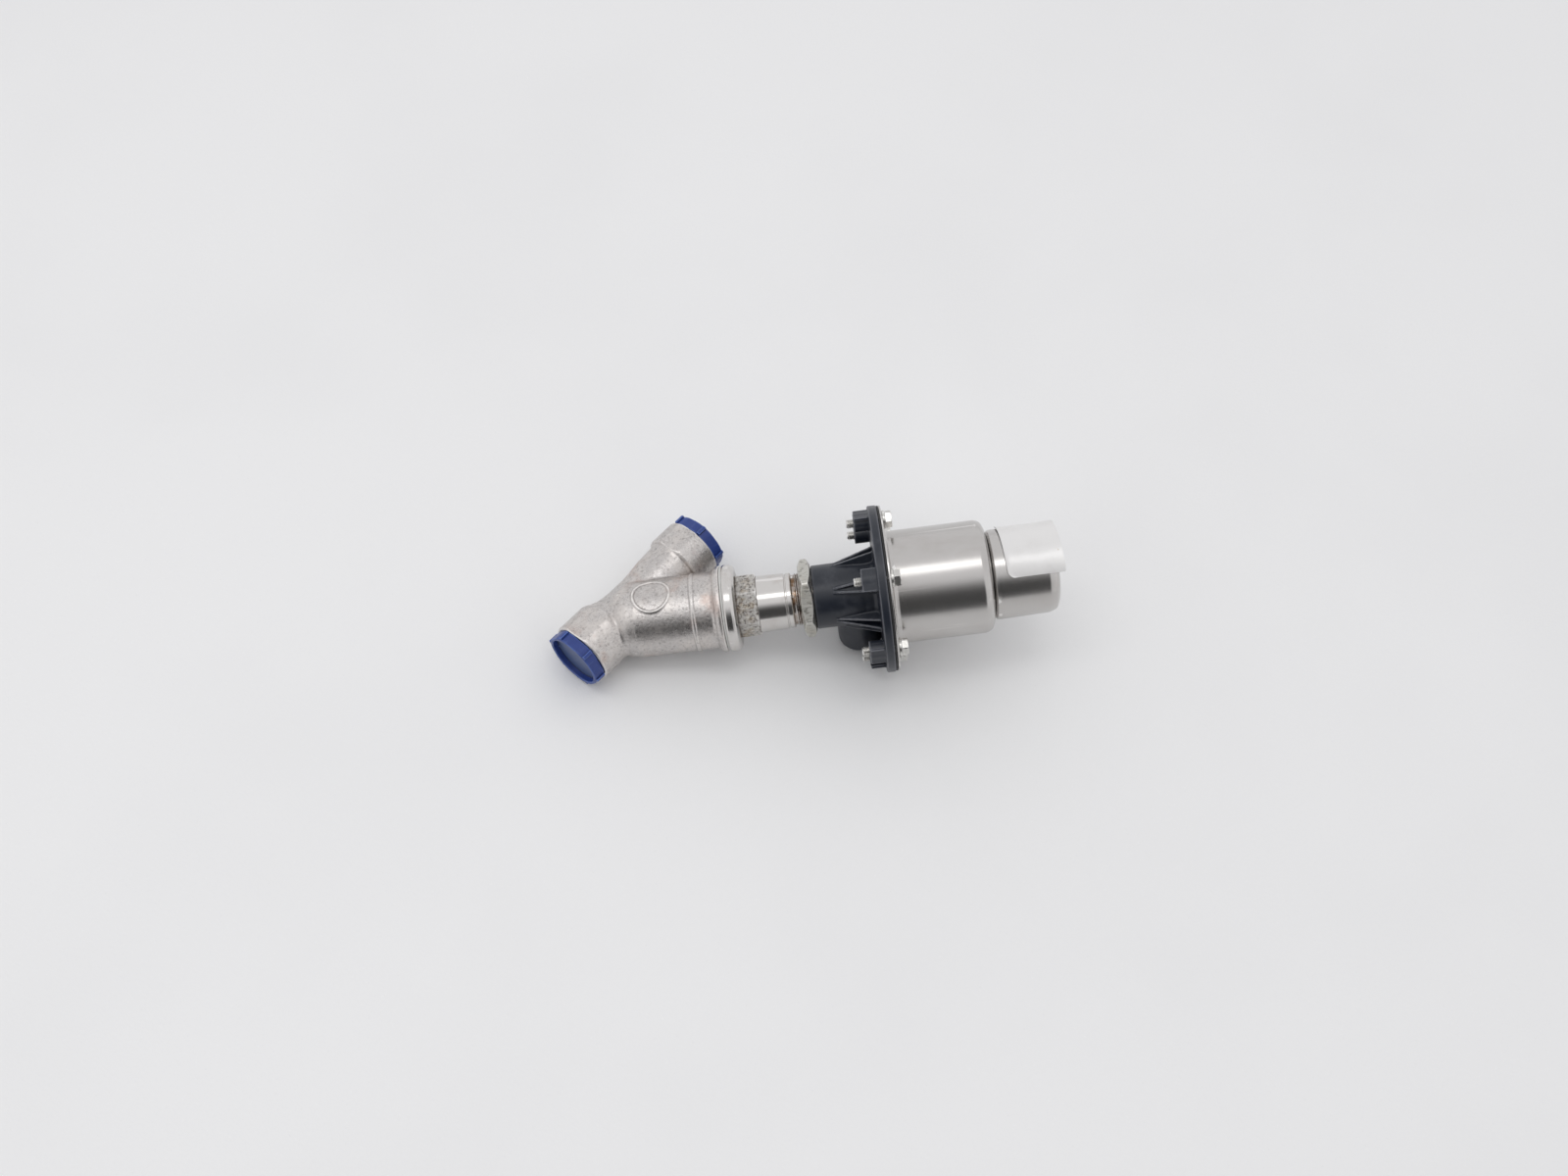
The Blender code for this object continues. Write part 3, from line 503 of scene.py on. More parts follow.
def satin_steel():
    """Drawn sheet: fine rings of brushing, soft clouds and a few long scuffs."""
    s = Shader("satin_steel", (0.56, 0.545, 0.53), 1.0, 0.24, AXIS)
    rings = s.noise(1.0, 4.0, 0.6, stretch=(130.0, 130.0, 4200.0))
    cloud = s.noise(34.0, 5.0, 0.62, stretch=(1.0, 1.0, 0.5))
    scuff = s.noise(1.0, 3.0, 0.5, stretch=(420.0, 420.0, 16.0), shift=6.0)
    s.mix(s.range(cloud, 0.42, 0.74, 0.0, 0.7), (0.49, 0.465, 0.445))
    s.mix(s.range(scuff, 0.66, 0.74, 0.0, 0.45), (0.70, 0.68, 0.66))
    s.mix(s.edges(0.51, 0.58), (0.80, 0.78, 0.76))
    s.add_rough(s.centred(rings), 0.10)
    s.add_rough(s.centred(cloud), 0.10)
    s.bump(rings, 0.000012, 0.5)
    return s.done()


def bright_steel(name, colour, rough):
    """Fasteners and ground rods: fine grain, small dark pits and rubbed edges."""
    s = Shader(name, colour, 1.0, rough)
    fine = s.noise(1800.0, 4.0, 0.6)
    cloud = s.noise(240.0, 4.0, 0.6, shift=3.0)
    s.mix(s.range(cloud, 0.5, 0.75, 0.0, 0.5), tuple(0.7 * c for c in colour))
    s.mix(s.edges(0.51, 0.58), (0.84, 0.83, 0.81))
    s.add_rough(s.centred(cloud), 0.2)
    s.bump(fine, 0.00005, 0.6)
    return s.done()


def nut_steel():
    """The lock nut: rough milled faces, dull and slightly dented."""
    s = Shader("nut_steel", (0.58, 0.57, 0.53), 1.0, 0.42, AXIS)
    tool = s.noise(1.0, 4.0, 0.6, stretch=(700.0, 700.0, 260.0))
    fine = s.noise(2200.0, 3.0, 0.6, shift=4.0)
    cloud = s.noise(110.0, 4.0, 0.6, shift=8.0)
    s.mix(s.range(cloud, 0.42, 0.7, 0.0, 0.6), (0.50, 0.47, 0.40))
    s.mix(s.range(tool, 0.36, 0.48, 0.7, 0.0), (0.20, 0.19, 0.165))
    s.mix(s.edges(0.505, 0.56), (0.80, 0.79, 0.75))
    # painted shade: a darker colour in the concave creases of the nut
    s.crease_shade(0.6, (0.14, 0.12, 0.10))
    s.add_rough(s.centred(tool), 0.25)
    s.bump(tool, 0.00036, 0.85)
    s.bump(fine, 0.00006, 0.5)
    return s.done()


def black_nylon():
    """Glass-filled nylon: faint orange peel, a little dust and paler rubbed edges."""
    s = Shader("black_nylon", (0.014, 0.018, 0.028), 0.0, 0.36)
    s.shader.inputs["Specular IOR Level"].default_value = 0.5
    peel = s.noise(700.0, 4.0, 0.6)
    dust = s.noise(75.0, 6.0, 0.65, shift=5.0)
    s.mix(s.range(dust, 0.46, 0.76, 0.0, 0.55), (0.060, 0.064, 0.078))
    s.mix(s.edges(0.505, 0.56), (0.15, 0.155, 0.175))
    s.add_rough(s.centred(dust), 0.30)
    s.bump(peel, 0.00007, 0.5)
    return s.done()


def blue_plastic():
    """Soft moulded polyethylene, with a painted highlight on its corners, painted shade in its creases and a paler
    colour on the sunk floor of its recess.
    """
    s = Shader("blue_plastic", (0.016, 0.042, 0.215), 0.0, 0.36, RUN)
    s.shader.inputs["Subsurface Weight"].default_value = 0.06
    s.shader.inputs["Subsurface Radius"].default_value = (0.001, 0.002, 0.006)
    cloud = s.noise(130.0, 5.0, 0.6)
    scratch = s.noise(1.0, 4.0, 0.6, stretch=(160.0, 900.0, 900.0), shift=3.0)
    s.mix(s.range(cloud, 0.45, 0.75, 0.0, 0.5), (0.022, 0.058, 0.28))
    # a paler blue-grey colour on the sunk floor of the recess
    s.mix(s.recess(RECESS_RADIUS, RECESS_DEPTH), (0.085, 0.125, 0.22))
    s.mix(s.range(scratch, 0.60, 0.72, 0.0, 0.35), (0.14, 0.23, 0.52))
    # painted highlight: a paler blue laid on the outer edges and corners
    s.mix(s.edges(0.505, 0.56), (0.080, 0.15, 0.44))
    # painted shade: a near-black blue in the concave creases
    s.crease_shade(0.85, (0.005, 0.010, 0.045))
    s.add_rough(s.centred(cloud), 0.25)
    s.bump(scratch, 0.00008, 0.6)
    return s.done()


def label_foil():
    """A blank foil: satin, softly creased, with a few brown specks."""
    s = Shader("label_foil", (0.80, 0.79, 0.78), 0.30, 0.34, AXIS)
    crease = s.noise(48.0, 3.0, 0.5)
    fine = s.noise(1.0, 3.0, 0.5, stretch=(260.0, 260.0, 3000.0), shift=3.0)
    s.mix(s.range(s.noise(70.0, 4.0, 0.6, shift=6.0), 0.45, 0.75, 0.0, 0.4),
          (0.70, 0.685, 0.67))
    s.mix(s.range(s.noise(150.0, 4.0, 0.6, shift=14.0), 0.69, 0.76, 0.0, 0.6),
          (0.42, 0.34, 0.16))
    s.add_rough(s.centred(fine), 0.18)
    s.bump(crease, 0.0010, 0.5)
    s.bump(fine, 0.00002, 0.4)
    return s.done()


def plain_look(name, colour, metallic, rough, scale, depth, darker=0.75):
    """Hidden pieces: packing, bushes, rubber and springs."""
    s = Shader(name, colour, metallic, rough)
    grain = s.noise(scale, 4.0, 0.6)
    cloud = s.noise(0.15 * scale, 4.0, 0.6, shift=3.0)
    s.mix(s.range(cloud, 0.42, 0.72, 0.0, 0.6), tuple(darker * c for c in colour))
    s.add_rough(s.centred(cloud), 0.2)
    s.bump(grain, depth, 0.6)
    return s.done()


LOOKS = {
    "cast_steel": cast_steel(),
    "turned_steel": turned_steel(),
    "satin_steel": satin_steel(),
    "stem_steel": bright_steel("stem_steel", (0.62, 0.61, 0.60), 0.16),
    "zinc_steel": bright_steel("zinc_steel", (0.64, 0.63, 0.60), 0.28),
    "nut_steel": nut_steel(),
    "spring_steel": plain_look("spring_steel", (0.30, 0.30, 0.31), 1.0, 0.34, 1200.0, 0.00004),
    "black_nylon": black_nylon(),
    "black_rubber": plain_look("black_rubber", (0.020, 0.020, 0.021), 0.0, 0.62, 900.0, 0.00008),
    "packing_white": plain_look("packing_white", (0.82, 0.82, 0.79), 0.0, 0.46, 700.0, 0.00005,
                                0.88),
    "brass": plain_look("brass", (0.62, 0.46, 0.22), 1.0, 0.28, 1300.0, 0.00004),
    "blue_plastic": blue_plastic(),
    "label_foil": label_foil(),
}
HEXAGON_LOOK = hexagon_steel()


def repaint_frame():
    """Give each carried-over CAD node the look of its own material slot."""
    slots = {part["node"]: part["material_slot"] for part in frame["record"]["subparts"]}
    for name, node in frame["nodes"].items():
        node.data.materials.clear()
        node.data.materials.append(LOOKS[slots[name]])


# ---------------------------------------------------------------- valve body

RUN_OUTLINE = outline_table([
    (0.0, 79.0), (21.1, 79.0), (21.9, 78.2), (21.9, 60.2), (21.4, 59.2), (20.2, 58.4),
    (19.5, 56.5), (19.1, 50.0), (18.7, 43.0), (17.6, 34.0), (16.7, 26.0), (16.7, 12.0),
    (17.2, 5.0), (18.1, 0.5), (19.6, -4.0), (21.2, -7.0), (21.9, -9.5), (21.9, -30.1),
    (21.1, -30.9), (0.0, -30.9)])
BRANCH_OUTLINE = outline_table([
    (0.0, 74.3), (28.1, 74.3), (28.7, 73.7), (28.7, 72.2), (28.0, 70.6), (26.4, 69.0),
    (25.7, 67.6), (25.6, 57.0), (26.2, 56.2), (26.2, 54.8), (25.4, 53.9), (25.2, 17.0),
    (24.3, 11.2), (23.4, 8.0), (21.6, 4.4), (18.8, 0.5), (15.0, -3.5), (9.0, -6.0),
    (0.0, -7.0)])


def socket_field(depth, radius, angle):
    """A tapered mouth and a threaded socket, by depth behind the end face."""
    crest = 16.6 + 0.85 * (1.0 - wave(depth, angle, 2.309))
    mouth = radius - (17.8 - np.minimum(depth, 1.2))
    hole = np.maximum(radius - crest, depth - 17.0)
    return np.minimum(hole, np.maximum(mouth, depth - 1.2))


def body_field(x, y, z):
    radius, turn = np.hypot(y, z), np.arctan2(z, y)
    s, v = (x - y) * ROOT2, -(x + y) * ROOT2
    around = np.hypot(z, v)
    shell = soft_min(read_table(RUN_OUTLINE, radius, x),
                     read_table(BRANCH_OUTLINE, around, s), 1.7)
    ridge = np.hypot(np.hypot(v, s - 29.0) - 12.2, np.where(z > 0, around - 25.3, 50.0)) - 0.75
    shell = soft_min(shell, ridge, 0.7)
    shell = shell + 0.05 * np.sin(x * 0.61 + 1.0) * np.sin(y * 0.53) * np.sin(z * 0.47 + 2.0)
    flats = np.minimum(np.maximum(20.5 - np.abs(z), x + 6.0),
                       np.maximum(20.5 - np.abs(z), np.maximum(57.0 - x, np.abs(y) - 30.0)))
    shell = soft_max(shell, -flats, 0.15)
    inlet = np.minimum(socket_field(x - INLET_END, radius, turn),
                       np.maximum(radius - 12.5, s - 2.0))
    outlet = np.minimum(socket_field(OUTLET_END - x, radius, turn),
                        np.maximum(radius - 12.5, 6.6 - s))
    chamber = np.maximum(around - np.minimum(20.8, 16.5 + (s - 6.0) * 0.72), 6.0 - s)
    seat = np.maximum(around - 11.5, np.abs(s - 2.0) - 6.0)
    hollow = np.minimum(np.minimum(inlet, outlet), np.minimum(chamber, seat))
    return soft_max(shell, -hollow, 0.35)


def build_body():
    mesh = field_mesh("cast_body", body_field, (-33.0, -76.0, -31.0), (82.0, 25.0, 31.0), 0.5)
    add_piece("cast_body", mesh, RUN, LOOKS["cast_steel"], "valve",
              ["valve_body"])


# ---------------------------------------------------------------- plastic plugs

CAP_OUTLINE = outline_table([
    (0.0, 4.0), (17.8, 4.0), (18.1, 7.6), (18.4, 8.1), (20.0, 8.1), (20.6, 7.5), (20.6, 0.3),
    (16.2, 0.3), (16.2, -12.2), (15.4, -13.0), (14.2, -13.0), (14.6, 2.4), (0.0, 2.4)])


def cap_field(corner):
    turns = [math.radians(corner + 60.0 * i) for i in range(6)]

    def field(x, y, z):
        shell = read_table(CAP_OUTLINE, np.hypot(x, y), z)
        for turn in turns:
            flat = turn + math.pi / 6.0
            shell = soft_max(shell, x * math.cos(flat) + y * math.sin(flat) - 19.9, 0.5)
        for turn in turns:
            out = x * math.cos(turn) + y * math.sin(turn)
            side = y * math.cos(turn) - x * math.sin(turn)
            lug = np.maximum(np.maximum(np.abs(out - 20.6) - 1.4, np.abs(side) - 1.2),
                             np.abs(z - 4.2) - 3.55)
            shell = soft_min(shell, lug, 0.15)
        bead = np.hypot(np.hypot(x, y) - 15.9, z + 9.5) - 0.55
        return soft_min(shell, bead, 0.4)
    return field


def build_caps():
    for name, end, direction, corner in (("inlet_cap", INLET_END, -1.0, -42.6),
                                         ("outlet_cap", OUTLET_END, 1.0, 21.6)):
        mesh = field_mesh(name + "_moulding", cap_field(corner), (-23.5, -23.5, -14.2),
                          (23.5, 23.5, 9.2), 0.4)
        add_piece(name + "_moulding", mesh, run_end(end, direction), LOOKS["blue_plastic"],
                  name, [name])


# ---------------------------------------------------------------- bonnet and lock nut

HEX_LOW, HEX_HIGH, HEX_ACROSS = 84.0, 97.5, 36.0


def bonnet_shape(radius, height, angle):
    """The hexagon between the disc and the sleeve, and the thread behind the sleeve."""
    flat = soft_max(hexagon_radius(HEX_ACROSS, 13.0, angle), 18.5, 0.5)
    flat = soft_min(flat, 20.75 - 0.9 * np.clip(height - 96.6, 0.0, 1.0), 0.5)
    on_hexagon = (height > HEX_LOW - 0.05) & (height < HEX_HIGH + 0.01) & (radius > 20.0)
    radius = np.where(on_hexagon & (radius < 21.5), flat, radius)
    on_thread = (height > 122.9) & (radius > 17.0) & (radius < 17.6)
    return np.where(on_thread, 16.65 + 0.85 * wave(height, angle, 1.5), radius)


def build_bonnet():
    profile = [(16.7, 150.5), (17.3, 149.9, 0.0)]
    profile += climb(17.5, 123.0, 136.0, 0.14)[::-1]
    profile += [(16.6, 122.2), (16.6, 121.0), (17.9, 120.5), (18.3, 120.0), (18.4, 117.4),
                (17.9, 117.0), (17.9, 116.4), (18.5, 116.0), (19.0, 97.9), (18.6, 97.5)]
    profile += [(20.8, z, 0.0) for z in np.linspace(97.5, 84.0, 22)]
    profile += [(26.0, 84.0, 0.6), (28.2, 82.6, 1.2), (28.9, 80.6, 1.2), (28.9, 77.1, 0.8),
                (28.3, 75.9), (20.3, 75.9), (20.3, 59.0), (19.3, 58.0), (5.4, 58.0),
                (5.4, 62.5), (9.0, 62.5), (9.0, 150.5)]
    mesh = lathe("bonnet_turning", profile, 240, shape=bonnet_shape, sharp=40.0)
    low, high, outer = HEX_LOW + 0.2, HEX_HIGH + 0.05, 17.7
    for face in mesh.polygons:
        x, y, z = face.center / MM
        if low < z < high and outer < math.hypot(x, y) < 21.5:
            face.material_index = 1
    add_piece("bonnet_turning", mesh, AXIS, [LOOKS["turned_steel"], HEXAGON_LOOK], "valve",
              ["bonnet"])


NUT_LOW, NUT_HIGH, NUT_ACROSS = 126.0, 134.2, 46.0


def build_lock_nut():
    def shape(radius, height, angle):
        flat = hexagon_radius(NUT_ACROSS, 15.0, angle)
        edge = np.minimum(height - NUT_LOW, NUT_HIGH - height)
        cone = 22.1 + np.maximum(edge, 0.0) / math.tan(math.radians(27.0))
        return np.where(radius > 26.0, soft_min(flat, soft_min(cone, 26.3, 0.4), 0.35), radius)

    half = 0.5 * (NUT_HIGH - NUT_LOW)
    rim = [(27.0, z, 0.0)
           for z in NUT_HIGH - half * (1 - np.cos(np.linspace(0, math.pi, 40)))]
    profile = [(17.8, NUT_HIGH), *rim, (17.8, NUT_LOW)]
    mesh = lathe("lock_nut_milled", profile, 240, shape=shape, sharp=30.0)
    add_piece("lock_nut_milled", mesh, AXIS, LOOKS["nut_steel"], "lock_nut",
              ["lock_nut"])


# ---------------------------------------------------------------- lower housing

HOUSING_OUTLINE = outline_table([
    (0.0, 182.4), (54.9, 182.4), (55.5, 181.9), (55.5, 177.1), (55.0, 176.6), (24.6, 176.6),
    (22.8, 175.6), (21.8, 173.6), (21.1, 168.0), (21.1, 135.4), (20.2, 134.5), (0.0, 134.5)])
HOUSING_HOLLOW = outline_table([
    (0.0, 186.0), (35.4, 186.0), (35.4, 182.4), (33.0, 179.4), (5.5, 179.4), (5.5, 172.0),
    (8.7, 172.0), (8.7, 151.5), (17.8, 151.5), (17.8, 130.0), (0.0, 130.0)])


AIR_PORT_AT, AIR_PORT_FACE = 162.5, -47.0


def housing_field(x, y, z):
    radius, turn = np.hypot(x, y), np.arctan2(y, x)
    sector = np.mod(turn, math.pi / 3.0) - math.pi / 6.0
    out, side = radius * np.cos(sector), radius * np.sin(sector)
    shell = read_table(HOUSING_OUTLINE, radius, z)
    lift = np.clip((z - 148.0) / 29.6, -0.2, 1.2)
    web = np.maximum(np.abs(np.abs(side) - (1.1 + 3.5 * lift)) - 0.75,
                     (out - 21.3 - 8.2 * lift) * 0.96)
    web = np.maximum(web, np.maximum(148.0 - z, np.maximum(z - 177.6, 19.5 - out)))
    shell = soft_min(shell, web, 0.9)
    boss = np.maximum(np.hypot(out - SCREW_CIRCLE, side) - 6.0,
                      np.maximum(166.4 - z, z - 177.6))
    plate = np.maximum(np.maximum(np.abs(out - 53.1) - 1.1, np.abs(side) - 7.3),
                       np.abs(z - 172.0) - 5.3)
    shell = soft_min(shell, soft_min(boss, plate, 0.5), 0.8)
    across = np.hypot(y, z - AIR_PORT_AT)
    port = np.maximum(across - 15.0, np.maximum(AIR_PORT_FACE - x, x + 12.0))
    shell = soft_min(shell, soft_max(port, AIR_PORT_FACE - x, 0.9), 1.0)
    depth = x - AIR_PORT_FACE
    thread = 5.9 + 0.5 * (1.0 - wave(depth, np.arctan2(z - AIR_PORT_AT, y), 1.337))
    drilled = np.maximum(across - thread - np.maximum(0.9 - depth, 0.0),
                         np.maximum(x + 26.0, -48.5 - x))
    duct = np.maximum(np.hypot(x + 29.5, y) - 2.2, np.maximum(AIR_PORT_AT - z, z - 181.0))
    screws = np.hypot(out - SCREW_CIRCLE, side) - 3.4
    hollow = np.minimum(np.minimum(read_table(HOUSING_HOLLOW, radius, z), screws),
                        np.minimum(drilled, duct))
    return soft_max(shell, -hollow, 0.3)


def build_lower_housing():
    mesh = field_mesh("housing_moulding", housing_field, (-57.0, -57.0, 132.8),
                      (57.0, 57.0, 184.0), 0.55)
    add_piece("housing_moulding", mesh, AXIS, LOOKS["black_nylon"], "actuator",
              ["lower_housing"])


# ---------------------------------------------------------------- spring housing

def drill(mesh, name):
    """Cut the six screw holes through a flange."""
    solid = bpy.data.objects.new(name, mesh)
    bpy.context.scene.collection.objects.link(solid)
    tools = []
    for angle in SCREW_ANGLES:
        tool = bpy.data.objects.new(name + "_drill", lathe(
            name + "_drill", [(0.0, 190.0), (3.4, 190.0), (3.4, 178.0), (0.0, 178.0)], 32,
            closed=False, default=0.0))
        bpy.context.scene.collection.objects.link(tool)
        tool.matrix_world = Matrix.Rotation(math.radians(angle), 4, "Z") @ Matrix.Translation(
            (SCREW_CIRCLE * MM, 0.0, 0.0))
        cut = solid.modifiers.new("Drill", "BOOLEAN")
        cut.operation, cut.solver, cut.object = "DIFFERENCE", "EXACT", tool
        tools.append(tool)
    bpy.context.view_layer.update()
    graph = bpy.context.evaluated_depsgraph_get()
    drilled = bpy.data.meshes.new_from_object(solid.evaluated_get(graph))
    for obj in (*tools, solid):
        bpy.data.objects.remove(obj, do_unlink=True)
    drilled.materials.clear()
    drilled.shade_smooth()
    drilled.set_sharp_from_angle(angle=math.radians(48.0))
    return drilled


def build_spring_housing():
    profile = [(24.0, 250.6), (31.6, 250.6, 3.0), (36.0, 248.8, 5.0), (37.5, 244.6, 4.0),
               (37.5, 189.2, 2.0), (38.2, 186.9, 1.5), (40.6, 185.2, 1.5), (55.0, 185.2, 0.35),
               (55.0, 184.0, 0.35), (40.0, 184.0, 1.0), (37.0, 186.2, 1.0), (36.3, 189.4, 1.0),
               (36.3, 244.4, 3.0), (34.9, 247.8, 3.0), (31.4, 249.4, 2.0), (24.0, 249.4)]
    mesh = drill(lathe("drawn_can", profile, 180), "drawn_can")
    add_piece("drawn_can", mesh, AXIS, LOOKS["satin_steel"], "actuator",
              ["spring_housing"])
    low, top = 251.2, 294.4
    cap = [(0.0, top), (23.0, top, 3.0), (27.6, top - 2.0, 3.5), (29.2, top - 7.0, 4.0),
           (29.9, low + 4.0, 2.0), (29.5, low + 1.7, 1.0), (28.0, low + 0.3, 0.8),
           (24.3, low, 0.3), (24.3, low + 1.2, 0.3), (27.6, low + 1.6, 0.8),
           (28.7, low + 4.4, 1.5),
           (28.0, top - 7.2, 3.0), (26.4, top - 3.0, 3.0), (22.8, top - 1.2, 2.0),
           (0.0, top - 1.2)]
    add_piece("drawn_cap", lathe("drawn_cap", cap, 180, closed=False), AXIS,
              LOOKS["satin_steel"], "actuator", ["spring_housing_cap"])


def build_label():
    """A thin sheet bent round the cap, rounded at its corners and a little wavy."""
    across, rows, corner, base = 110, 44, 4.5, 30.3
    first, last = math.radians(-58.0), math.radians(44.0)
    arc = (last - first) * base
    part = 0.5 - 0.5 * np.cos(math.pi * np.linspace(0.0, 1.0, across + 1)) * 0.999
    along = arc * part
    edge = np.minimum(along, arc - along)
    pull = corner - np.sqrt(np.maximum(corner ** 2 - np.maximum(corner - edge, 0.0) ** 2, 0.0))
    skew = 0.05 * (along - 0.5 * arc)
    low, high = 259.4 + skew + pull, 296.5 + skew - 0.25 * pull
    rise = np.linspace(0.0, 1.0, rows + 1)
    angle = np.repeat((first + along / base)[:, None], rows + 1, axis=1)
    height = low[:, None] + (high - low)[:, None] * rise[None, :]
    curl = 0.55 * np.clip((height - 286.5) / 10.0, 0.0, 1.0) ** 2
    ripple = 0.10 * np.sin(angle * 9.0 + 1.0) * np.clip((height - 277.5) / 19.0, 0.0, 1.0)
    curl = curl + 0.5 * np.clip(1.0 - (height - low[:, None]) / 3.0, 0.0, 1.0) ** 2
    inner = base + curl + ripple + 0.05 * np.sin(height * 0.33) * np.sin(angle * 5.0)
    layers = [np.stack([r * np.cos(angle), r * np.sin(angle), height], -1).reshape(-1, 3)
              for r in (inner, inner + 0.45)]
    count = (across + 1) * (rows + 1)
    index = np.arange(count).reshape(across + 1, rows + 1)
    quads = np.stack([index[:-1, :-1], index[1:, :-1], index[1:, 1:], index[:-1, 1:]],
                     -1).reshape(-1, 4)
    border = np.concatenate([index[:, 0], index[-1, 1:], index[-2::-1, -1], index[0, -2:0:-1]])
    turned_on = np.roll(border, -1)
    sides = np.stack([border, turned_on, turned_on + count, border + count], -1)
    faces = quads[:, ::-1].tolist() + (quads + count).tolist() + sides.tolist()
    mesh = outward(make_mesh("foil_sheet", np.concatenate(layers), faces))
    # painted shadow: the foil's edge faces take the black material, a dark line standing in for the shade along
    # the label's edges
    for face in list(mesh.polygons)[2 * len(quads):]:
        face.material_index = 1
    add_piece("foil_sheet", mesh, AXIS, [LOOKS["label_foil"], LOOKS["black_rubber"]],
              "actuator", ["label_plate"])


# ---------------------------------------------------------------- screws

def screw_mesh(turn):
    """A hexagon screw, with a real thread where its end stands out of the boss."""
    def shape(radius, height, angle):
        flat = hexagon_radius(10.0, turn, angle)
        cone = 5.0 + np.maximum(191.4 - height, 0.0) / math.tan(math.radians(30.0)) * 0.9
        head = soft_min(flat, cone, 0.15)
        threaded = 2.48 + 0.5 * wave(height, angle, 1.0)
        radius = np.where(radius > 5.5, head, radius)
        return np.where((height < 170.0) & (radius > 2.9) & (radius < 3.05), threaded, radius)

    head = [(6.0, z, 0.0) for z in (191.4, 191.2, 191.0, 190.8, 190.5, 190.2, 189.4, 188.4,
                                    187.4)]
    shank = climb(3.0, 162.4, 170.0, 0.1)[::-1]
    profile = [(0.0, 191.1, 0.0), (3.9, 191.1, 0.0), (4.4, 191.4, 0.0), *head,
               (3.0, 187.4, 0.0), (3.0, 171.0, 0.0), *shank, (2.3, 161.7, 0.0),
               (0.0, 161.6, 0.0)]
    return lathe("hexagon_screw", profile, 72, closed=False, shape=shape, sharp=32.0)


def build_screws():
    washer = [(6.0, 187.1, 0.25), (6.0, 185.5, 0.25), (3.3, 185.5, 0.2), (3.3, 187.1, 0.2)]
    for index, angle in enumerate(SCREW_ANGLES):
        place, number = round_axis(angle, SCREW_CIRCLE), index + 1
        add_piece("hexagon_screw_%d" % number, screw_mesh(17.0 * index), place,
                  LOOKS["zinc_steel"], "actuator", ["flange_screw_%d" % number])
        add_piece("plain_washer_%d" % number, lathe("plain_washer", washer, 64), place,
                  LOOKS["zinc_steel"], "actuator", ["flange_washer_%d" % number])


# ---------------------------------------------------------------- soft pieces

def coil_mesh(name, radius, wire, low, high, turns, steps=48, sides=14):
    """A round wire wound into a spring, with closer end turns and flat cut ends."""
    count = int(turns * steps)
    part = np.linspace(0.0, 1.0, count + 1)
    angle = 2.0 * math.pi * turns * part
    height = low + (high - low) * part - np.sin(4.0 * math.pi * part) * 0.12 * (high - low) / turns
    line = np.stack([radius * np.cos(angle), radius * np.sin(angle), height], -1)
    ahead = np.gradient(line, axis=0)
    ahead /= np.linalg.norm(ahead, axis=1)[:, None]
    out = np.stack([np.cos(angle), np.sin(angle), np.zeros_like(angle)], -1)
    up = np.cross(ahead, out)
    spin = 2.0 * math.pi * np.arange(sides) / sides
    points = (line[:, None] + wire * (np.cos(spin)[None, :, None] * out[:, None]
                                      + np.sin(spin)[None, :, None] * up[:, None]))
    index = np.arange((count + 1) * sides).reshape(count + 1, sides)
    after = np.roll(index, -1, axis=1)
    quads = np.stack([index[:-1], index[1:], after[1:], after[:-1]], -1).reshape(-1, 4)
    faces = quads.tolist() + [index[0].tolist(), index[-1][::-1].tolist()]
    return outward(make_mesh(name, points.reshape(-1, 3), faces))


def build_springs():
    wire, low, high, travel = 1.8, 188.4, 288.9, 12.0
    main = add_piece("closing_coil", coil_mesh("closing_coil", 20.5, wire, low, high, 6.5),
                     AXIS, LOOKS["spring_steel"], "actuator",
                     ["closing_spring"])
    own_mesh(main)
    add_piece("packing_coil", coil_mesh("packing_coil", 7.0, 0.75, 63.7, 73.2, 3.0), AXIS,
              LOOKS["spring_steel"], "valve", ["packing_spring"])


# ---------------------------------------------------------------- studio

def build_floor():
    mesh = bpy.data.meshes.new("floor")
    reach = 4.0
    mesh.from_pydata([(-reach, -reach, 0.0), (reach, -reach, 0.0), (reach, reach, 0.0),
                      (-reach, reach, 0.0)], [], [(0, 1, 2, 3)])
    floor = bpy.data.objects.new("floor", mesh)
    bpy.context.scene.collection.objects.link(floor)
    s = Shader("floor_paint", (0.90, 0.90, 0.90), 0.0, 0.55)
    speck = s.noise(520.0, 5.0, 0.7)
    s.mix(s.range(speck, 0.60, 0.72, 0.0, 0.6), (0.97, 0.97, 0.97))
    s.mix(s.range(speck, 0.28, 0.40, 0.35, 0.0), (0.76, 0.76, 0.76))
    s.mix(s.range(s.noise(4.0, 3.0, 0.5, shift=2.0), 0.4, 0.7, 0.0, 0.5), (0.86, 0.86, 0.862))
    s.bump(speck, 0.0004, 0.35)
    mesh.materials.append(s.done())
    floor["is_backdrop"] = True


LAMP_TOWARD, LAMP_DISTANCE = Vector((-0.132, 0.184, 0.974)).normalized(), 1.9
LAMP_LONG, LAMP_WIDE, LAMP_POWER = 1.7, 0.42, 4.2
DIM_SIDE = Vector((-0.722, -0.597, 0.35)).normalized()
ROOM_BRIGHT, ROOM_DIM = 0.88, 0.06


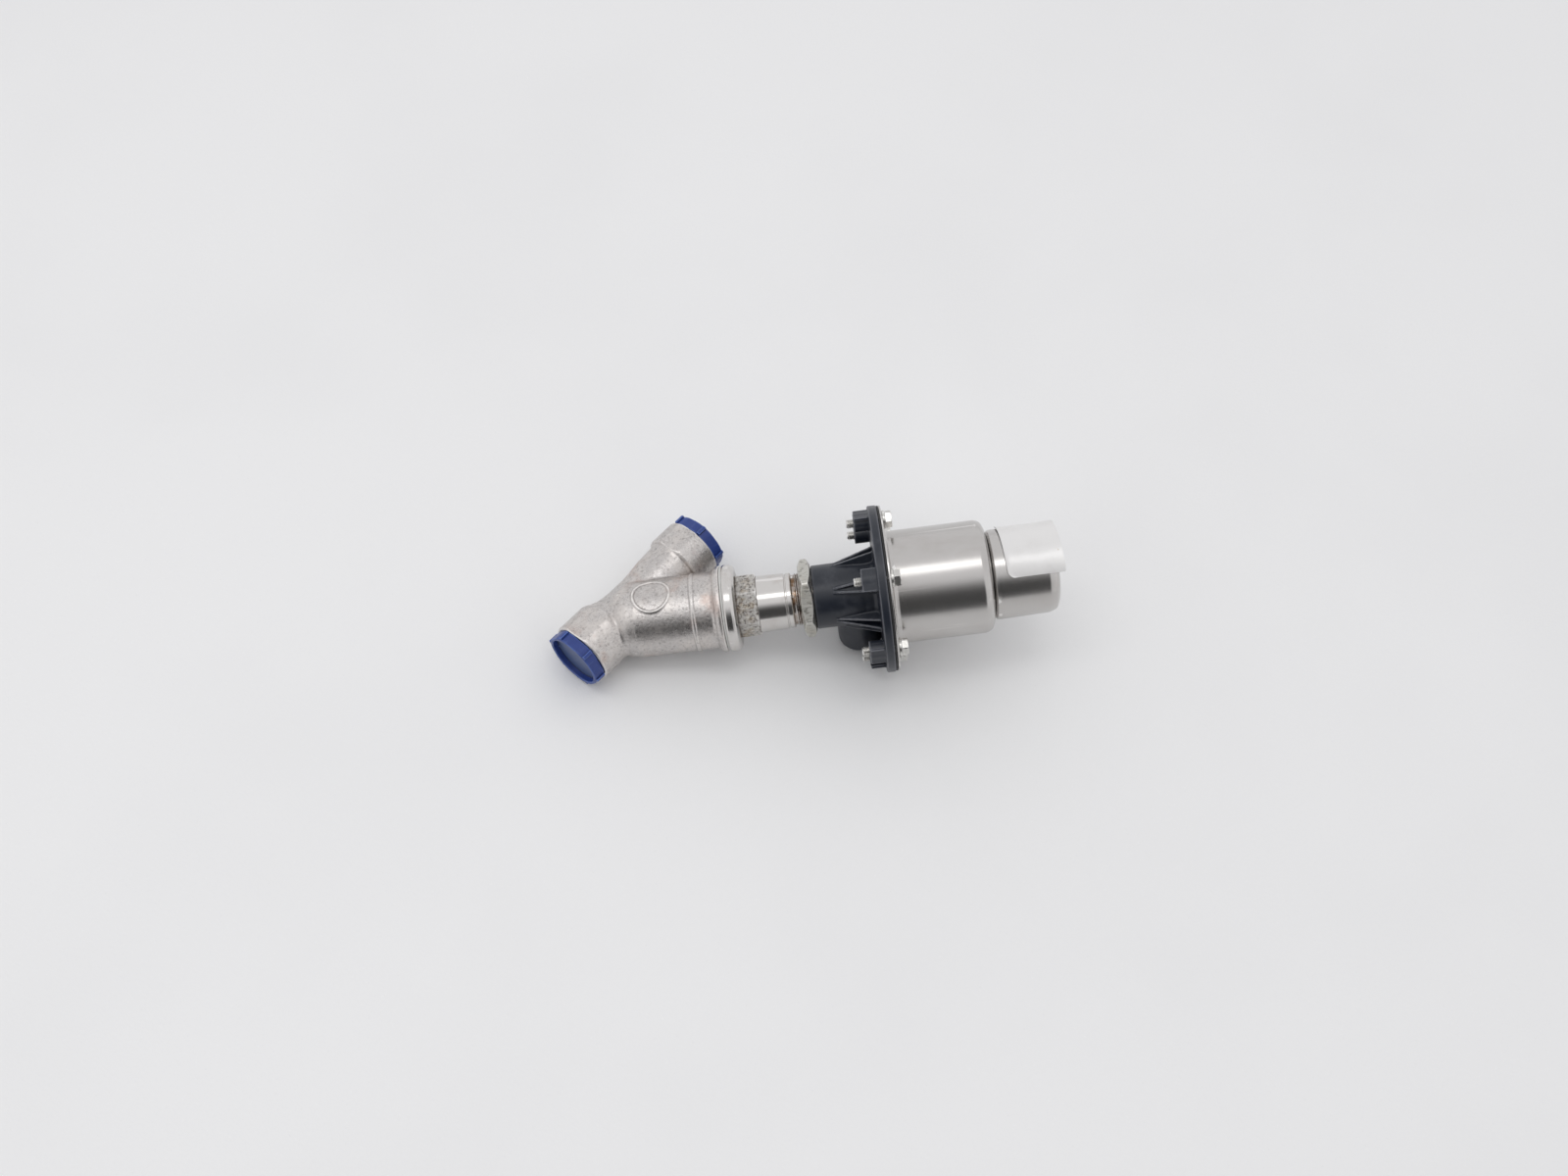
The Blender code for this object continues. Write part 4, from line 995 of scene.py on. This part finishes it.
def build_light():
    """A long lamp in line with the actuator, and a room that is dim on one side."""
    data = bpy.data.lights.new("ceiling_light", "AREA")
    data.shape, data.energy = "RECTANGLE", LAMP_POWER
    data.size, data.size_y = LAMP_LONG, LAMP_WIDE
    lamp = bpy.data.objects.new("ceiling_light", data)
    bpy.context.scene.collection.objects.link(lamp)
    out = Vector(AXIS.col[2][:3])
    along = (out - LAMP_TOWARD * out.dot(LAMP_TOWARD)).normalized()
    lamp.matrix_world = Matrix((along, LAMP_TOWARD.cross(along),
                                LAMP_TOWARD)).transposed().to_4x4()
    lamp.location = LAMP_TOWARD * LAMP_DISTANCE
    world = bpy.data.worlds.new("room")
    bpy.context.scene.world = world
    world.use_nodes = True
    tree = world.node_tree
    where = tree.nodes.new("ShaderNodeTexCoord").outputs["Generated"]
    facing = tree.nodes.new("ShaderNodeVectorMath")
    facing.operation = "DOT_PRODUCT"
    facing.inputs[1].default_value = DIM_SIDE
    ramp = tree.nodes.new("ShaderNodeMapRange")
    ramp.interpolation_type = "SMOOTHSTEP"
    for key, value in (("From Min", 0.70), ("From Max", 0.97), ("To Min", ROOM_BRIGHT),
                       ("To Max", ROOM_DIM)):
        ramp.inputs[key].default_value = value
    tree.links.new(where, facing.inputs[0])
    tree.links.new(facing.outputs["Value"], ramp.inputs["Value"])
    back = tree.nodes["Background"]
    back.inputs["Color"].default_value = (0.985, 0.985, 1.0, 1.0)
    tree.links.new(ramp.outputs["Result"], back.inputs["Strength"])


CAMERA_RIGHT, CAMERA_UP = Vector((0.6465, -0.757, 0.0948)), Vector((0.6481, 0.6104, 0.4554))
CAMERA_FROM_RUN = Vector((-0.3328, -0.315505, 0.947403))


def build_camera():
    data = bpy.data.cameras.new("camera")
    data.lens, data.sensor_width = 36.0, 36.0
    camera = bpy.data.objects.new("camera", data)
    bpy.context.scene.collection.objects.link(camera)
    back = CAMERA_RIGHT.cross(CAMERA_UP).normalized()
    right = CAMERA_UP.cross(back).normalized()
    up = back.cross(right)
    camera.matrix_world = Matrix((right, up, back)).transposed().to_4x4()
    camera.location = RUN.translation + CAMERA_FROM_RUN
    bpy.context.scene.camera = camera
    bpy.context.scene.view_settings.view_transform = "Standard"


def write_sizes():
    boxes = [[list(corner) for corner in box] for box in (CAD_BOX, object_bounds())]


repaint_frame()
build_body()
build_caps()
build_bonnet()
build_lock_nut()
build_lower_housing()
build_spring_housing()
build_label()
build_screws()
build_springs()
build_floor()
build_light()
build_camera()
write_sizes()
